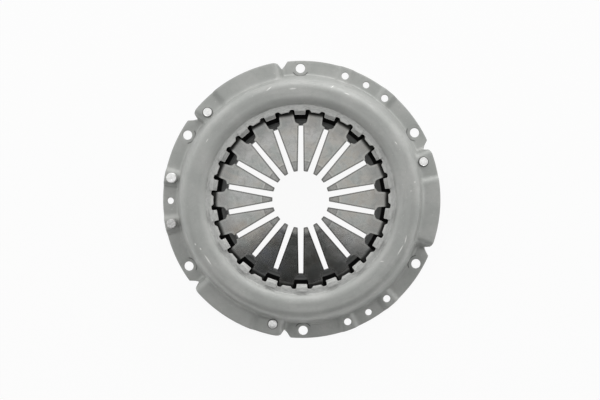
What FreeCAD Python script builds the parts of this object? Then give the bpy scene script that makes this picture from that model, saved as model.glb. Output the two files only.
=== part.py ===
"""Diaphragm clutch cover assembly, millimetres.

The origin lies on the clutch axis in the plane where the cover's flange meets the flywheel, and +Z
points to the gearbox. The assembly stands as it does on a bench before it is bolted up: the spring
pushes the pressure plate down, below the place that it takes on a flywheel.
"""

import FreeCAD, Part
import math
import os

import Sketcher

DRIVING = [
    ("flange_radius", 139.0, "outer edge of the bolting flange"),
    ("sheet", 3.5, "thickness of the pressed cover"),
    ("segments", 3, "flange segments, lobes, lugs and strap packs"),
    ("segment_pitch", 120.0, "degrees from one lobe to the next"),
    ("lobe_radius", 136.2, "outer edge of a raised lobe"),
    ("lobe_half_angle", 22.1, "foot of a lobe's end wall, from its middle"),
    ("lobe_high_end", 10.6, "foot of the step down to the rivet pad"),
    ("lobe_top", 24.5, "top of the long part of a lobe"),
    ("rivet_pad_step", 3.0, "rivet pad below the top of its lobe"),
    ("lobe_draft", 8.0, "draft of the lobes' end walls"),
    ("lobe_corner_angle", 19.2, "where the rounded corner leaves the rim"),
    ("lobe_corner_end", 21.0, "where the rounded corner meets the notch"),
    ("lobe_corner_radius", 5.0, "rounded corner of a lobe"),
    ("lobe_corner_depth", 2.4, "rim to the end of the rounded corner"),
    ("notch_radius", 131.0, "bottom of the notch between lobe and flange"),
    ("flange_corner_angle", 24.7, "corner of a flange segment"),
    ("wall_foot_radius", 124.4, "foot of the steep wall on the flange"),
    ("wall_draft", 15.6, "lean of the steep wall"),
    ("foot_round", 2.0, "inside round where the wall meets the flange"),
    ("crest_rise", 6.75, "top of the dome above the bead"),
    ("shoulder_round", 11.0, "inside round of the dome's shoulder"),
    ("crest_round", 1.5, "inside round of the dome's inner edge"),
    ("inner_wall_angle", 44.0, "slope of the dome's inner side"),
    ("lip_angle", 27.5, "slope of the lip inside the bead"),
    ("bead_round", 2.0, "top round of the fulcrum bead"),
    ("ridge_inset", 3.6, "ridge of the lip, inside the fulcrum circle"),
    ("lip_inset", 6.3, "inner edge of the lip, inside the fulcrum circle"),
    ("bolt_circle_radius", 131.5, "circle of the fixing bolts"),
    ("bolt_angle", 30.0, "first fixing bolt"),
    ("bolt_hole_radius", 4.7, "hole for a fixing bolt"),
    ("bolt_count", 6, "fixing bolts"),
    ("spot_face_radius", 8.2, "flat for the bolt head"),
    ("dowel_circle_radius", 131.6, "circle of the dowels"),
    ("dowel_angle", 60.0, "first dowel, in the middle of a segment"),
    ("dowel_hole_radius", 3.25, "hole for a dowel"),
    ("balance_circle_radius", 130.8, "circle of the balance holes"),
    ("balance_hole_radius", 3.6, "hole for a balance rivet"),
    ("balance_angle", 10.0, "balance hole, from the dowel"),
    ("balance_pad_start", 5.6, "near foot of the raised pad"),
    ("balance_pad_end", 14.6, "far foot of the raised pad"),
    ("balance_pad_rise", 3.0, "height of the raised pad"),
    ("balance_pad_draft", 30.0, "slope of the raised pad's steps"),
    ("finger_count", 18, "fingers of the diaphragm spring"),
    ("finger_pitch", 20.0, "degrees from one finger to the next"),
    ("spring_sheet", 2.8, "thickness of the diaphragm spring"),
    ("spring_cone", 12.0, "cone angle of the spring at rest"),
    ("spring_radius", 110.5, "outer edge of the spring"),
    ("spring_slit", 0.25, "running gap between neighbouring fingers"),
    ("fulcrum_radius", 90.5, "circle that the spring tilts about"),
    ("fulcrum_height", 29.0, "middle of the spring at the fulcrum"),
    ("bead_gap", 0.35, "clearance between the spring and the bead over it"),
    ("wire_gap", 0.6, "clearance between the spring and the wire under it"),
    ("wire_radius", 2.0, "half thickness of the fulcrum wire"),
    ("tip_radius", 25.6, "tips of the fingers"),
    ("tip_bend_radius", 32.0, "bend where a finger flattens"),
    ("tip_bend_round", 11.2, "inner round of that bend"),
    ("tip_angle", 4.0, "slope of the flattened tip"),
    ("slot_width_tip", 6.3, "slot between fingers at the tips"),
    ("slot_width_root", 5.1, "slot between fingers at the windows"),
    ("window_start", 72.0, "inner end of a window"),
    ("window_gap_back", 0.7, "room behind a tab at the window's outer end"),
    ("window_gap_start", 0.45, "room beside a tab at the window's inner end"),
    ("window_gap_end", 1.75, "room beside a tab at the window's outer end"),
    ("window_round", 4.2, "corner round at the window's inner end"),
    ("tab_width", 10.5, "width of a retaining tab"),
    ("tab_wire_gap", 1.3, "room between a tab and the inside of the wire"),
    ("tab_lean", 2.4, "lean of a tab towards the axis at its top"),
    ("tab_bend_round", 0.7, "inside round of a tab's upper bend"),
    ("tab_fold_round", 1.5, "inside round of a tab's lower bend"),
    ("tab_fold_reach", 2.1, "end of the fold, outside the fulcrum circle"),
    ("tab_gap", 0.15, "clearance between wire and fold"),
    ("relief_width", 2.6, "relief notch beside a tab"),
    ("relief_inset", 3.5, "bottom of a relief notch, inside the fulcrum circle"),
    ("plate_bore_radius", 73.7, "bore of the pressure plate"),
    ("plate_margin", 3.9, "edge of the plate outside the spring"),
    ("face_height", 4.0, "friction face at rest"),
    ("plate_travel", 4.8, "lift of the plate from rest to full release"),
    ("fold_gap", 0.55, "room under the folds at full lift"),
    ("recess_depth", 2.0, "recess under the tabs"),
    ("recess_margin", 4.4, "edge of the recess outside the folds"),
    ("plate_chamfer", 1.2, "chamfers of the plate"),
    ("land_inset", 3.5, "crest of the land inside the edge of the spring"),
    ("land_crest", 2.2, "width of the land's flat crest"),
    ("land_width", 6.0, "width of the land below its chamfers"),
    ("land_chamfer", 1.2, "height of the crest's chamfers"),
    ("land_flare", 1.8, "widening of the land at its foot"),
    ("land_gap", 0.6, "clearance under the spring, along the axis"),
    ("land_slot", 5.0, "gap between neighbouring lands"),
    ("lug_angle", -11.5, "lug, from the middle of its lobe"),
    ("lug_inset", 2.2, "outer edge of a lug inside the edge of its lobe"),
    ("lug_width", 26.0, "width of a lug"),
    ("lug_round", 7.0, "corner round of a lug"),
    ("lug_bottom", 5.0, "underside of a lug"),
    ("lug_top", 10.2, "seat of the straps on a lug"),
    ("strap_circle_radius", 125.3, "circle of the strap rivets"),
    ("strap_rivet_angle", 16.5, "cover rivet, from the middle of its lobe"),
    ("strap_width", 12.0, "width of a drive strap"),
    ("strap_sheet", 0.6, "thickness of one leaf"),
    ("strap_leaves", 3, "leaves in a pack"),
    ("leaf_gap", 0.03, "room between neighbouring leaves"),
    ("strap_end", 5.6, "strap beyond its rivet"),
    ("strap_flat", 8.5, "flat part inside the rivet"),
    ("strap_round", 5.0, "corner round of a leaf"),
    ("strap_bend", 6.0, "bend of a leaf"),
    ("rivet_radius", 2.95, "shank of a strap rivet"),
    ("rivet_gap", 0.05, "clearance round a rivet's shank"),
    ("rivet_head_radius", 4.25, "head of a strap rivet"),
    ("rivet_head", 2.4, "height of a strap rivet's head"),
    ("rivet_tail_radius", 4.5, "upset tail of a strap rivet"),
    ("rivet_tail", 2.0, "height of the upset tail"),
    ("tail_pocket_gap", 0.3, "room round a tail in the lug"),
    ("washer_radius", 5.6, "washer under a lug rivet's head"),
    ("washer_sheet", 1.0, "thickness of the washer"),
    ("balance_shank_gap", 0.05, "clearance round a balance rivet"),
    ("balance_tail_radius", 4.6, "upset tail of a balance rivet"),
    ("balance_tail", 2.0, "height of that tail"),
    ("light_weight_radius", 5.0, "head of the light balance rivet"),
    ("light_weight", 6.5, "height of its head"),
    ("heavy_weight_radius", 4.65, "head of the heavy balance rivet"),
    ("heavy_weight", 9.5, "height of its head"),
    ("weight_edge", 0.7, "bevelled edge of both heads"),
    ("trim_margin", 11.0, "blank outside every trimmed edge"),
]

DERIVED = [
    ("trim_reach", "Dims.flange_radius + Dims.trim_margin"),
    ("block_reach", "trim_reach + Dims.trim_margin"),
    ("rivet_pad_top", "Dims.lobe_top - Dims.rivet_pad_step"),
    ("pad_under", "rivet_pad_top - Dims.sheet"),
    ("lobe_under", "Dims.lobe_top - Dims.sheet"),
    ("lobe_skin", "Dims.sheet/cos(Dims.lobe_draft*1deg)"),
    ("balance_top", "Dims.sheet + Dims.balance_pad_rise"),
    ("balance_skin", "Dims.sheet*tan((90 - Dims.balance_pad_draft)/2*1deg)"),
    ("bead_top", "Dims.fulcrum_height + Dims.spring_sheet/2 + Dims.bead_gap + Dims.sheet"),
    ("bead_half", "(Dims.inner_wall_angle + Dims.lip_angle)/2"),
    ("bead_lean", "(Dims.inner_wall_angle - Dims.lip_angle)/2"),
    ("bead_reach", "Dims.bead_round/cos(bead_half*1deg)"),
    ("valley_radius", "Dims.fulcrum_radius + bead_reach*sin(bead_lean*1deg)"),
    ("valley_height", "bead_top + Dims.bead_round - bead_reach*cos(bead_lean*1deg)"),
    ("crest_height", "bead_top + Dims.crest_rise"),
    ("crest_width", "(crest_height - valley_height)/tan(Dims.inner_wall_angle*1deg)"),
    ("crest_radius", "valley_radius + crest_width"),
    ("wall_lean", "(crest_height - Dims.sheet)*tan(Dims.wall_draft*1deg)"),
    ("wall_top_radius", "Dims.wall_foot_radius - wall_lean"),
    ("ridge_radius", "Dims.fulcrum_radius - Dims.ridge_inset"),
    ("ridge_height", "valley_height + (valley_radius - ridge_radius)*tan(Dims.lip_angle*1deg)"),
    ("lip_radius", "Dims.fulcrum_radius - Dims.lip_inset"),
    ("relief_radius", "Dims.fulcrum_radius - Dims.relief_inset"),
    ("wire_height", "Dims.fulcrum_height - Dims.spring_sheet/2 - Dims.wire_gap - Dims.wire_radius"),
    ("tab_foot_radius", "Dims.fulcrum_radius - Dims.wire_radius - Dims.tab_wire_gap - Dims.sheet"),
    ("tab_top_radius", "tab_foot_radius - Dims.tab_lean"),
    ("tab_fold_end", "Dims.fulcrum_radius + Dims.tab_fold_reach"),
    ("fold_bottom", "wire_height - Dims.wire_radius - Dims.tab_gap - Dims.sheet"),
    ("cone_slope", "tan(Dims.spring_cone*1deg)"),
    ("spring_half", "Dims.spring_sheet/2/cos(Dims.spring_cone*1deg)"),
    ("spring_top", "Dims.fulcrum_height + spring_half"),
    ("spring_under", "Dims.fulcrum_height - spring_half"),
    ("spring_top_bend", "spring_top + (Dims.fulcrum_radius - Dims.tip_bend_radius)*cone_slope"),
    ("tip_rise", "(Dims.tip_bend_radius - Dims.tip_radius)*tan(Dims.tip_angle*1deg)"),
    ("spring_top_tip", "spring_top_bend + tip_rise"),
    ("tip_under", "spring_top_tip - Dims.spring_sheet/cos(Dims.tip_angle*1deg)"),
    ("bend_under", "spring_top_bend - 2*spring_half"),
    ("edge_under", "spring_under - (Dims.spring_radius - Dims.fulcrum_radius)*cone_slope"),
    ("window_end", "tab_foot_radius + Dims.sheet + Dims.window_gap_back"),
    ("window_half_start", "Dims.tab_width/2 + Dims.window_gap_start"),
    ("window_half_end", "Dims.tab_width/2 + Dims.window_gap_end"),
    ("plate_radius", "Dims.spring_radius + Dims.plate_margin"),
    ("plate_recess", "fold_bottom - Dims.plate_travel - Dims.fold_gap"),
    ("plate_back", "plate_recess + Dims.recess_depth"),
    ("recess_radius", "tab_fold_end + Dims.recess_margin"),
    ("land_radius", "Dims.spring_radius - Dims.land_inset"),
    ("land_fall", "(land_radius - Dims.fulcrum_radius)*cone_slope"),
    ("land_top", "spring_under - Dims.land_gap - land_fall"),
    ("lug_reach", "Dims.lobe_radius - Dims.lug_inset"),
    ("leaf_pitch", "Dims.strap_sheet + Dims.leaf_gap"),
    ("strap_pack", "Dims.strap_leaves*leaf_pitch"),
    ("strap_half_turn", "(Dims.strap_rivet_angle - Dims.lug_angle)/2"),
    ("strap_span", "2*Dims.strap_circle_radius*sin(strap_half_turn*1deg)"),
    ("rivet_hole", "Dims.rivet_radius + Dims.rivet_gap"),
]

document = FreeCAD.newDocument("clutch_cover_assembly")


def fill_sheets():
    """The driving sheet holds plain numbers, and the second sheet works the fits out from them."""
    dims = document.addObject("Spreadsheet::Sheet", "Dims")
    for row, (alias, value, meaning) in enumerate(DRIVING, 1):
        dims.set(f"A{row}", alias)
        dims.set(f"B{row}", str(value))
        dims.set(f"C{row}", meaning)
        dims.setAlias(f"B{row}", alias)
    document.recompute()
    fits = document.addObject("Spreadsheet::Sheet", "Fits")
    for row, (alias, formula) in enumerate(DERIVED, 1):
        fits.set(f"A{row}", alias)
        fits.set(f"B{row}", "=" + formula)
        fits.setAlias(f"B{row}", alias)
        document.recompute()
    return dims


dims = fill_sheets()


def number(expression):
    """Value of an expression over the two sheets."""
    return float(dims.evalExpression(expression))


def count(expression):
    """Whole number from the sheets."""
    return int(round(number(expression)))


def at(radius, angle, across="0"):
    """Point at a radius and an angle in degrees, moved across that direction."""
    x = f"({radius})*cos(({angle})*1deg) - ({across})*sin(({angle})*1deg)"
    y = f"({radius})*sin(({angle})*1deg) + ({across})*cos(({angle})*1deg)"
    return (x, y)


def wedge(first, last, inner, outer, skin="0"):
    """Corners of a wedge between two angles and two radii, its sides moved in by a skin."""
    return [
        at(inner, first, skin),
        at(outer, first, skin),
        at(outer, last, f"-({skin})"),
        at(inner, last, f"-({skin})"),
    ]


def vector(point):
    """Place of a point in the plane of its sketch."""
    return FreeCAD.Vector(number(point[0]), number(point[1]), 0)


def origin_part(body, role):
    """Plane or axis of a body's own origin."""
    return [part for part in body.Origin.OriginFeatures if part.Role == role][0]


def new_body(name):
    body = document.addObject("PartDesign::Body", name)
    body.Label = name
    return body


def new_sketch(body, name, role, turn="0", lift="0"):
    """Sketch on an origin plane of its body, turned about the clutch axis and lifted off the plane."""
    sketch = body.newObject("Sketcher::SketchObject", name)
    sketch.AttachmentSupport = [(origin_part(body, role), "")]
    sketch.MapMode = "FlatFace"
    axis = FreeCAD.Vector(0, 0, 1) if role == "XY_Plane" else FreeCAD.Vector(0, 1, 0)
    turned = FreeCAD.Rotation(axis, number(turn))
    sketch.AttachmentOffset = FreeCAD.Placement(FreeCAD.Vector(0, 0, 0), turned)
    sketch.setExpression("AttachmentOffset.Base.z", lift)
    if turn != "0":
        sketch.setExpression("AttachmentOffset.Rotation.Angle", f"({turn})*1deg")
    return sketch


def bind(sketch, constraint, expression):
    index = sketch.addConstraint(constraint)
    sketch.setExpression(f"Constraints[{index}]", expression)


def pin_point(sketch, line, point, end=1):
    """Holds one end of a line at a point of the plane."""
    place = vector(point)
    bind(sketch, Sketcher.Constraint("DistanceX", -1, 1, line, end, place.x), point[0])
    bind(sketch, Sketcher.Constraint("DistanceY", -1, 1, line, end, place.y), point[1])


def round_corner(sketch, line, radius):
    """Round at the start of a line, with its radius bound to the sheet."""
    arc = sketch.GeometryCount
    sketch.fillet(line, 1, number(radius), True, True)
    bind(sketch, Sketcher.Constraint("Radius", arc, number(radius)), radius)


def arc_between(start, end, radius):
    """Arc from start to end that turns anticlockwise."""
    step = end - start
    side = FreeCAD.Vector(-step.y, step.x, 0)
    side.normalize()
    centre = (start + end) * 0.5 + side * math.sqrt(max(radius**2 - step.Length**2 / 4, 0.0))
    first = math.atan2(start.y - centre.y, start.x - centre.x)
    last = math.atan2(end.y - centre.y, end.x - centre.x)
    circle = Part.Circle(centre, FreeCAD.Vector(0, 0, 1), radius)
    return Part.ArcOfCircle(circle, first, last)


def add_outline(sketch, points, arcs=None, rounds=None):
    """Closed anticlockwise outline with arcs on some sides and rounds at some corners."""
    arcs = arcs or {}
    rounds = rounds or {}
    first = sketch.GeometryCount
    total = len(points)
    places = [vector(point) for point in points]
    for i in range(total):
        start = places[i]
        end = places[(i + 1) % total]
        if i in arcs:
            sketch.addGeometry(arc_between(start, end, number(arcs[i])), False)
        else:
            sketch.addGeometry(Part.LineSegment(start, end), False)
    for i in range(total):
        sketch.addConstraint(Sketcher.Constraint("Coincident", first + i, 2, first + (i + 1) % total, 1))
    for i in range(total):
        pin_point(sketch, first + i, points[i])
    for i, radius in arcs.items():
        bind(sketch, Sketcher.Constraint("Radius", first + i, number(radius)), radius)
    document.recompute()
    for i, radius in rounds.items():
        round_corner(sketch, first + i, radius)


def outline(body, name, role, points, arcs=None, rounds=None, turn="0", lift="0"):
    """Sketch that holds one closed outline."""
    sketch = new_sketch(body, name, role, turn, lift)
    add_outline(sketch, points, arcs, rounds)
    document.recompute()
    return sketch


def circles(body, name, centres, radius, lift="0"):
    """Sketch of equal circles."""
    sketch = new_sketch(body, name, "XY_Plane", "0", lift)
    for i, centre in enumerate(centres):
        place = vector(centre)
        sketch.addGeometry(Part.Circle(place, FreeCAD.Vector(0, 0, 1), number(radius)), False)
        pin_point(sketch, i, centre, 3)
        bind(sketch, Sketcher.Constraint("Radius", i, number(radius)), radius)
    document.recompute()
    return sketch


def offset_chain(points, gap):
    """Corners of the chain that runs beside the given one, to its left, at the given gap."""
    moved = []
    for i, point in enumerate(points):
        sides = []
        if i > 0:
            step = point - points[i - 1]
            sides.append(FreeCAD.Vector(-step.y, step.x, 0).normalize())
        if i < len(points) - 1:
            step = points[i + 1] - point
            sides.append(FreeCAD.Vector(-step.y, step.x, 0).normalize())
        total = sides[0] + sides[-1]
        moved.append(point + total * (2 * gap / total.Length**2))
    return moved


def sheet_section(body, name, points, gap, rounds, turn="0"):
    """Section of a bent sheet: a chain of lines on one side and parallel lines on its left."""
    sketch = new_sketch(body, name, "XZ_Plane", turn)
    near = [vector(point) for point in points]
    far = offset_chain(near, number(gap))
    sides = len(points) - 1
    for i in range(sides):
        sketch.addGeometry(Part.LineSegment(near[i], near[i + 1]), False)
    sketch.addGeometry(Part.LineSegment(near[-1], far[-1]), False)
    for i in range(sides, 0, -1):
        sketch.addGeometry(Part.LineSegment(far[i], far[i - 1]), False)
    sketch.addGeometry(Part.LineSegment(far[0], near[0]), False)
    total = 2 * sides + 2
    for i in range(total):
        sketch.addConstraint(Sketcher.Constraint("Coincident", i, 2, (i + 1) % total, 1))
    for i, point in enumerate(points):
        pin_point(sketch, i, point)
    for i in range(sides):
        back = total - 2 - i
        sketch.addConstraint(Sketcher.Constraint("Parallel", i, back))
        bind(sketch, Sketcher.Constraint("Distance", back, 1, i, number(gap)), gap)
    sketch.addConstraint(Sketcher.Constraint("Perpendicular", sides, sides - 1))
    sketch.addConstraint(Sketcher.Constraint("Perpendicular", total - 1, 0))
    document.recompute()
    for corner, (near_radius, far_radius) in rounds.items():
        round_corner(sketch, corner, near_radius)
        round_corner(sketch, total - 1 - corner, far_radius)
    document.recompute()
    return sketch


def pad(body, name, sketch, length, draft=None, midplane=False):
    feature = body.newObject("PartDesign::Pad", name)
    feature.Profile = sketch
    feature.Midplane = midplane
    feature.setExpression("Length", length)
    if draft:
        feature.setExpression("TaperAngle", f"-({draft})*1deg")
    document.recompute()
    return feature


def pocket(body, name, sketch, length=None, draft=None, upward=True):
    """Cut that goes up from its sketch, through everything where no length is given."""
    feature = body.newObject("PartDesign::Pocket", name)
    feature.Profile = sketch
    feature.Reversed = upward
    if length:
        feature.setExpression("Length", length)
    else:
        feature.Type = "ThroughAll"
        feature.Midplane = True
    if draft:
        feature.setExpression("TaperAngle", f"-({draft})*1deg")
    document.recompute()
    return feature


def turn_about_axis(body, kind, name, sketch, angle=None):
    """Revolution or Groove about the clutch axis, centred on its sketch when it isn't a full turn."""
    feature = body.newObject(kind, name)
    feature.Profile = sketch
    feature.ReferenceAxis = (origin_part(body, "Z_Axis"), [""])
    if angle:
        feature.Midplane = True
        feature.setExpression("Angle", angle)
    document.recompute()
    return feature


def repeat(body, name, features, times):
    """Repeats features evenly around the clutch axis."""
    pattern = body.newObject("PartDesign::PolarPattern", name)
    pattern.Originals = features
    pattern.Axis = (origin_part(body, "Z_Axis"), [""])
    pattern.Angle = 360
    pattern.setExpression("Occurrences", times)
    body.Tip = pattern
    document.recompute()
    return pattern


def cover_chain():
    """Top of the cover's sheet from the flange over the dome to the lip."""
    return [
        ("Fits.trim_reach", "Dims.sheet"),
        ("Dims.wall_foot_radius", "Dims.sheet"),
        ("Fits.wall_top_radius", "Fits.crest_height"),
        ("Fits.crest_radius", "Fits.crest_height"),
        ("Fits.valley_radius", "Fits.valley_height"),
        ("Fits.ridge_radius", "Fits.ridge_height"),
        ("Fits.lip_radius", "Fits.ridge_height"),
    ]


def lobe_outline(body, name, high_end, inner, skin):
    """Foot of a tapered block over one lobe."""
    points = wedge("-Dims.lobe_half_angle", high_end, inner, "Fits.block_reach", skin)
    return outline(body, name, "XY_Plane", points)


def lobe_forms(body):
    """Solid form of the three lobes, each with its lower rivet pad."""
    inner = "Dims.wall_foot_radius - 4*Dims.sheet"
    low = lobe_outline(body, "rivet_pad_outline", "Dims.lobe_half_angle", inner, "0")
    high = lobe_outline(body, "lobe_outline", "Dims.lobe_high_end", inner, "0")
    low_pad = pad(body, "rivet_pad_form", low, "Fits.rivet_pad_top", "Dims.lobe_draft")
    high_pad = pad(body, "lobe_form", high, "Dims.lobe_top", "Dims.lobe_draft")
    repeat(body, "lobe_forms", [low_pad, high_pad], "Dims.segments")


def lobe_insides(body):
    """Hollow of each lobe, open to the rim and to the space under the dome."""
    inner = "Dims.plate_bore_radius"
    low = lobe_outline(body, "rivet_pad_hollow", "Dims.lobe_half_angle", inner, "Fits.lobe_skin")
    high = lobe_outline(body, "lobe_hollow", "Dims.lobe_high_end", inner, "Fits.lobe_skin")
    low_cut = pocket(body, "rivet_pad_inside", low, "Fits.pad_under", "Dims.lobe_draft")
    high_cut = pocket(body, "lobe_inside", high, "Fits.lobe_under", "Dims.lobe_draft")
    repeat(body, "lobe_insides", [low_cut, high_cut], "Dims.segments")


def balance_pad_outline(body, name, skin):
    """Feet of the two raised pads of one flange segment, a mirrored pair about its dowel."""
    sketch = new_sketch(body, name, "XY_Plane", "Dims.dowel_angle")
    inner = "Dims.wall_foot_radius - 2*Dims.foot_round"
    near = "Dims.balance_pad_start"
    far = "Dims.balance_pad_end"
    for first, last in ((near, far), (f"-{far}", f"-{near}")):
        add_outline(sketch, wedge(first, last, inner, "Fits.block_reach", skin))
    document.recompute()
    return sketch


def trim_outline(body):
    """Everything outside the flange, the notches and the rounded lobe of one third of the rim."""
    half = "Dims.segment_pitch/2"
    far = "Fits.block_reach + Dims.trim_margin"
    corner = "Dims.lobe_radius - Dims.lobe_corner_depth"
    rim = [
        at("Dims.flange_radius", f"-{half}"),
        at("Dims.flange_radius", "-Dims.flange_corner_angle"),
        at("Dims.notch_radius", "-Dims.lobe_half_angle"),
        at(corner, "-Dims.lobe_corner_end"),
        at("Dims.lobe_radius", "-Dims.lobe_corner_angle"),
        at("Dims.lobe_radius", "Dims.lobe_corner_angle"),
        at(corner, "Dims.lobe_corner_end"),
        at("Dims.notch_radius", "Dims.lobe_half_angle"),
        at("Dims.flange_radius", "Dims.flange_corner_angle"),
        at("Dims.flange_radius", half),
    ]
    middle = at(f"({far})/cos({half}*1deg)", "0")
    points = rim + [at(far, half), middle, at(far, f"-{half}")]
    arcs = {
        0: "Dims.flange_radius",
        3: "Dims.lobe_corner_radius",
        4: "Dims.lobe_radius",
        5: "Dims.lobe_corner_radius",
        8: "Dims.flange_radius",
    }
    return outline(body, "rim_outline", "XY_Plane", points, arcs)


def tab_chain():
    """Inner side of a retaining tab, from the lip down through a window and out under the wire."""
    return [
        ("Fits.ridge_radius", "Fits.ridge_height"),
        ("Fits.tab_top_radius", "Fits.ridge_height"),
        ("Fits.tab_foot_radius", "Fits.fold_bottom"),
        ("Fits.tab_fold_end", "Fits.fold_bottom"),
    ]


def cover_pressing():
    """Pressed cover: flange, three lobes, domed wall, fulcrum bead, lip and retaining tabs."""
    body = new_body("cover_pressing")
    chain = cover_chain()
    rounds = {
        1: "Dims.foot_round",
        2: "Dims.shoulder_round + Dims.sheet",
        3: "Dims.crest_round + Dims.sheet",
        4: "Dims.bead_round",
    }
    under_rounds = {
        2: "Dims.shoulder_round",
        3: "Dims.crest_round",
        4: "Dims.bead_round + Dims.sheet",
    }
    base = [("Fits.lip_radius", "0"), ("Fits.trim_reach", "0")]
    form = outline(body, "outer_form_outline", "XZ_Plane", chain + base, None, rounds)
    turn_about_axis(body, "PartDesign::Revolution", "outer_form", form)
    lobe_forms(body)

    raised = balance_pad_outline(body, "balance_pad_outline", "0")
    raised_pads = pad(body, "balance_pads", raised, "Fits.balance_top", "Dims.balance_pad_draft")
    repeat(body, "balance_pad_forms", [raised_pads], "Dims.segments")

    inside = cover_underside(body, chain, under_rounds)
    turn_about_axis(body, "PartDesign::Groove", "dome_inside", inside)
    lobe_insides(body)

    hollow = balance_pad_outline(body, "balance_hollow_outline", "Fits.balance_skin")
    hollows = pocket(body, "balance_hollows", hollow, "Dims.balance_pad_rise", "Dims.balance_pad_draft")
    repeat(body, "balance_pad_hollows", [hollows], "Dims.segments")

    rim = pocket(body, "rim_trim", trim_outline(body))
    repeat(body, "rim_trims", [rim], "Dims.segments")
    cover_tabs(body)
    cover_holes(body)
    return body


def cover_tabs(body):
    """Retaining tabs folded out under the wire, with a relief notch on both sides of each."""
    bends = {
        1: ("Dims.tab_bend_round + Dims.sheet", "Dims.tab_bend_round"),
        2: ("Dims.tab_fold_round + Dims.sheet", "Dims.tab_fold_round"),
    }
    between = "Dims.finger_pitch/2"
    section = sheet_section(body, "tab_section", tab_chain(), "Dims.sheet", bends, between)
    tab = pad(body, "tab", section, "Dims.tab_width", None, True)
    relief = pocket(body, "relief", relief_outline(body))
    repeat(body, "tabs", [tab, relief], "Dims.finger_count")


def cover_underside(body, chain, rounds):
    """Space under the dome: parallel lines one sheet below its top, closed over the flange plane."""
    sketch = new_sketch(body, "dome_inside_outline", "XZ_Plane")
    near = [vector(point) for point in chain]
    far = offset_chain(near, number("Dims.sheet"))
    sides = len(chain) - 1
    for i in range(sides):
        sketch.addGeometry(Part.LineSegment(near[i], near[i + 1]), True)
    for i in range(sides - 1):
        sketch.addConstraint(Sketcher.Constraint("Coincident", i, 2, i + 1, 1))
    for i in range(sides):
        pin_point(sketch, i, chain[i])
    pin_point(sketch, sides - 1, chain[sides], 2)
    first = sketch.GeometryCount
    below = FreeCAD.Vector(far[1].x, -number("Dims.sheet"), 0)
    inner_radius = "Fits.lip_radius - Dims.sheet"
    inner = FreeCAD.Vector(number(inner_radius), below.y, 0)
    lip = far[-2] - far[-1]
    cut_end = far[-1] - lip * ((far[-1].x - inner.x) / lip.x)
    corners = [below, far[1]] + far[2:-1] + [cut_end, inner]
    total = len(corners)
    for i in range(total):
        sketch.addGeometry(Part.LineSegment(corners[i], corners[(i + 1) % total]), False)
    for i in range(total):
        sketch.addConstraint(Sketcher.Constraint("Coincident", first + i, 2, first + (i + 1) % total, 1))
    for i in range(1, sides):
        sketch.addConstraint(Sketcher.Constraint("Parallel", i, first + i))
        thickness = Sketcher.Constraint("Distance", first + i, 2, i, number("Dims.sheet"))
        bind(sketch, thickness, "Dims.sheet")
    sketch.addConstraint(Sketcher.Constraint("Vertical", first))
    sketch.addConstraint(Sketcher.Constraint("Vertical", first + total - 2))
    sketch.addConstraint(Sketcher.Constraint("Horizontal", first + total - 1))
    bind(sketch, Sketcher.Constraint("DistanceY", -1, 1, first, 1, below.y), "-Dims.sheet")
    bind(sketch, Sketcher.Constraint("DistanceX", -1, 1, first + total - 1, 1, inner.x), inner_radius)
    bind(sketch, Sketcher.Constraint("DistanceY", -1, 1, first + 1, 1, 0), "0")
    document.recompute()
    for corner, radius in rounds.items():
        round_corner(sketch, first + corner, radius)
    document.recompute()
    return sketch


def relief_outline(body):
    """Round-ended notches on both sides of one tab."""
    sketch = new_sketch(body, "relief_outline", "XY_Plane", "Dims.finger_pitch/2")
    start = "Fits.lip_radius - Dims.sheet"
    end = "Fits.relief_radius - Dims.relief_width/2"
    for near, far in (
        ("Dims.tab_width/2", "Dims.tab_width/2 + Dims.relief_width"),
        ("-Dims.tab_width/2 - Dims.relief_width", "-Dims.tab_width/2"),
    ):
        points = [(start, near), (end, near), (end, far), (start, far)]
        add_outline(sketch, points, {1: "Dims.relief_width/2"})
    document.recompute()
    return sketch


def cover_holes(body):
    """Bolt, dowel, balance and strap rivet holes, and the flats for the bolt heads."""
    bolt = [at("Dims.bolt_circle_radius", "Dims.bolt_angle")]
    spot = circles(body, "spot_face_circle", bolt, "Dims.spot_face_radius", "Dims.sheet")
    spot_cut = pocket(body, "spot_face", spot, "Dims.spot_face_radius")
    hole = circles(body, "bolt_hole_circle", bolt, "Dims.bolt_hole_radius")
    hole_cut = pocket(body, "bolt_hole", hole)
    repeat(body, "bolt_holes", [spot_cut, hole_cut], "Dims.bolt_count")
    dowel = [at("Dims.dowel_circle_radius", "Dims.dowel_angle")]
    dowel_sketch = circles(body, "dowel_circle", dowel, "Dims.dowel_hole_radius")
    dowel_cut = pocket(body, "dowel_hole", dowel_sketch)
    balance = [
        at("Dims.balance_circle_radius", "Dims.dowel_angle - Dims.balance_angle"),
        at("Dims.balance_circle_radius", "Dims.dowel_angle + Dims.balance_angle"),
    ]
    balance_sketch = circles(body, "balance_circles", balance, "Dims.balance_hole_radius")
    balance_cut = pocket(body, "balance_holes", balance_sketch)
    rivet = [at("Dims.strap_circle_radius", "Dims.strap_rivet_angle")]
    rivet_sketch = circles(body, "strap_rivet_circle", rivet, "Fits.rivet_hole")
    rivet_cut = pocket(body, "strap_rivet_hole", rivet_sketch)
    repeat(body, "rim_holes", [dowel_cut, balance_cut, rivet_cut], "Dims.segments")


def fulcrum_wire():
    """Round wire that carries the spring from below, held by the folded tabs."""
    wire = document.addObject("Part::Torus", "fulcrum_wire")
    wire.Label = "fulcrum_wire"
    wire.setExpression("Radius1", "Dims.fulcrum_radius")
    wire.setExpression("Radius2", "Dims.wire_radius")
    wire.setExpression("Placement.Base.z", "Fits.wire_height")
    return wire


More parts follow.
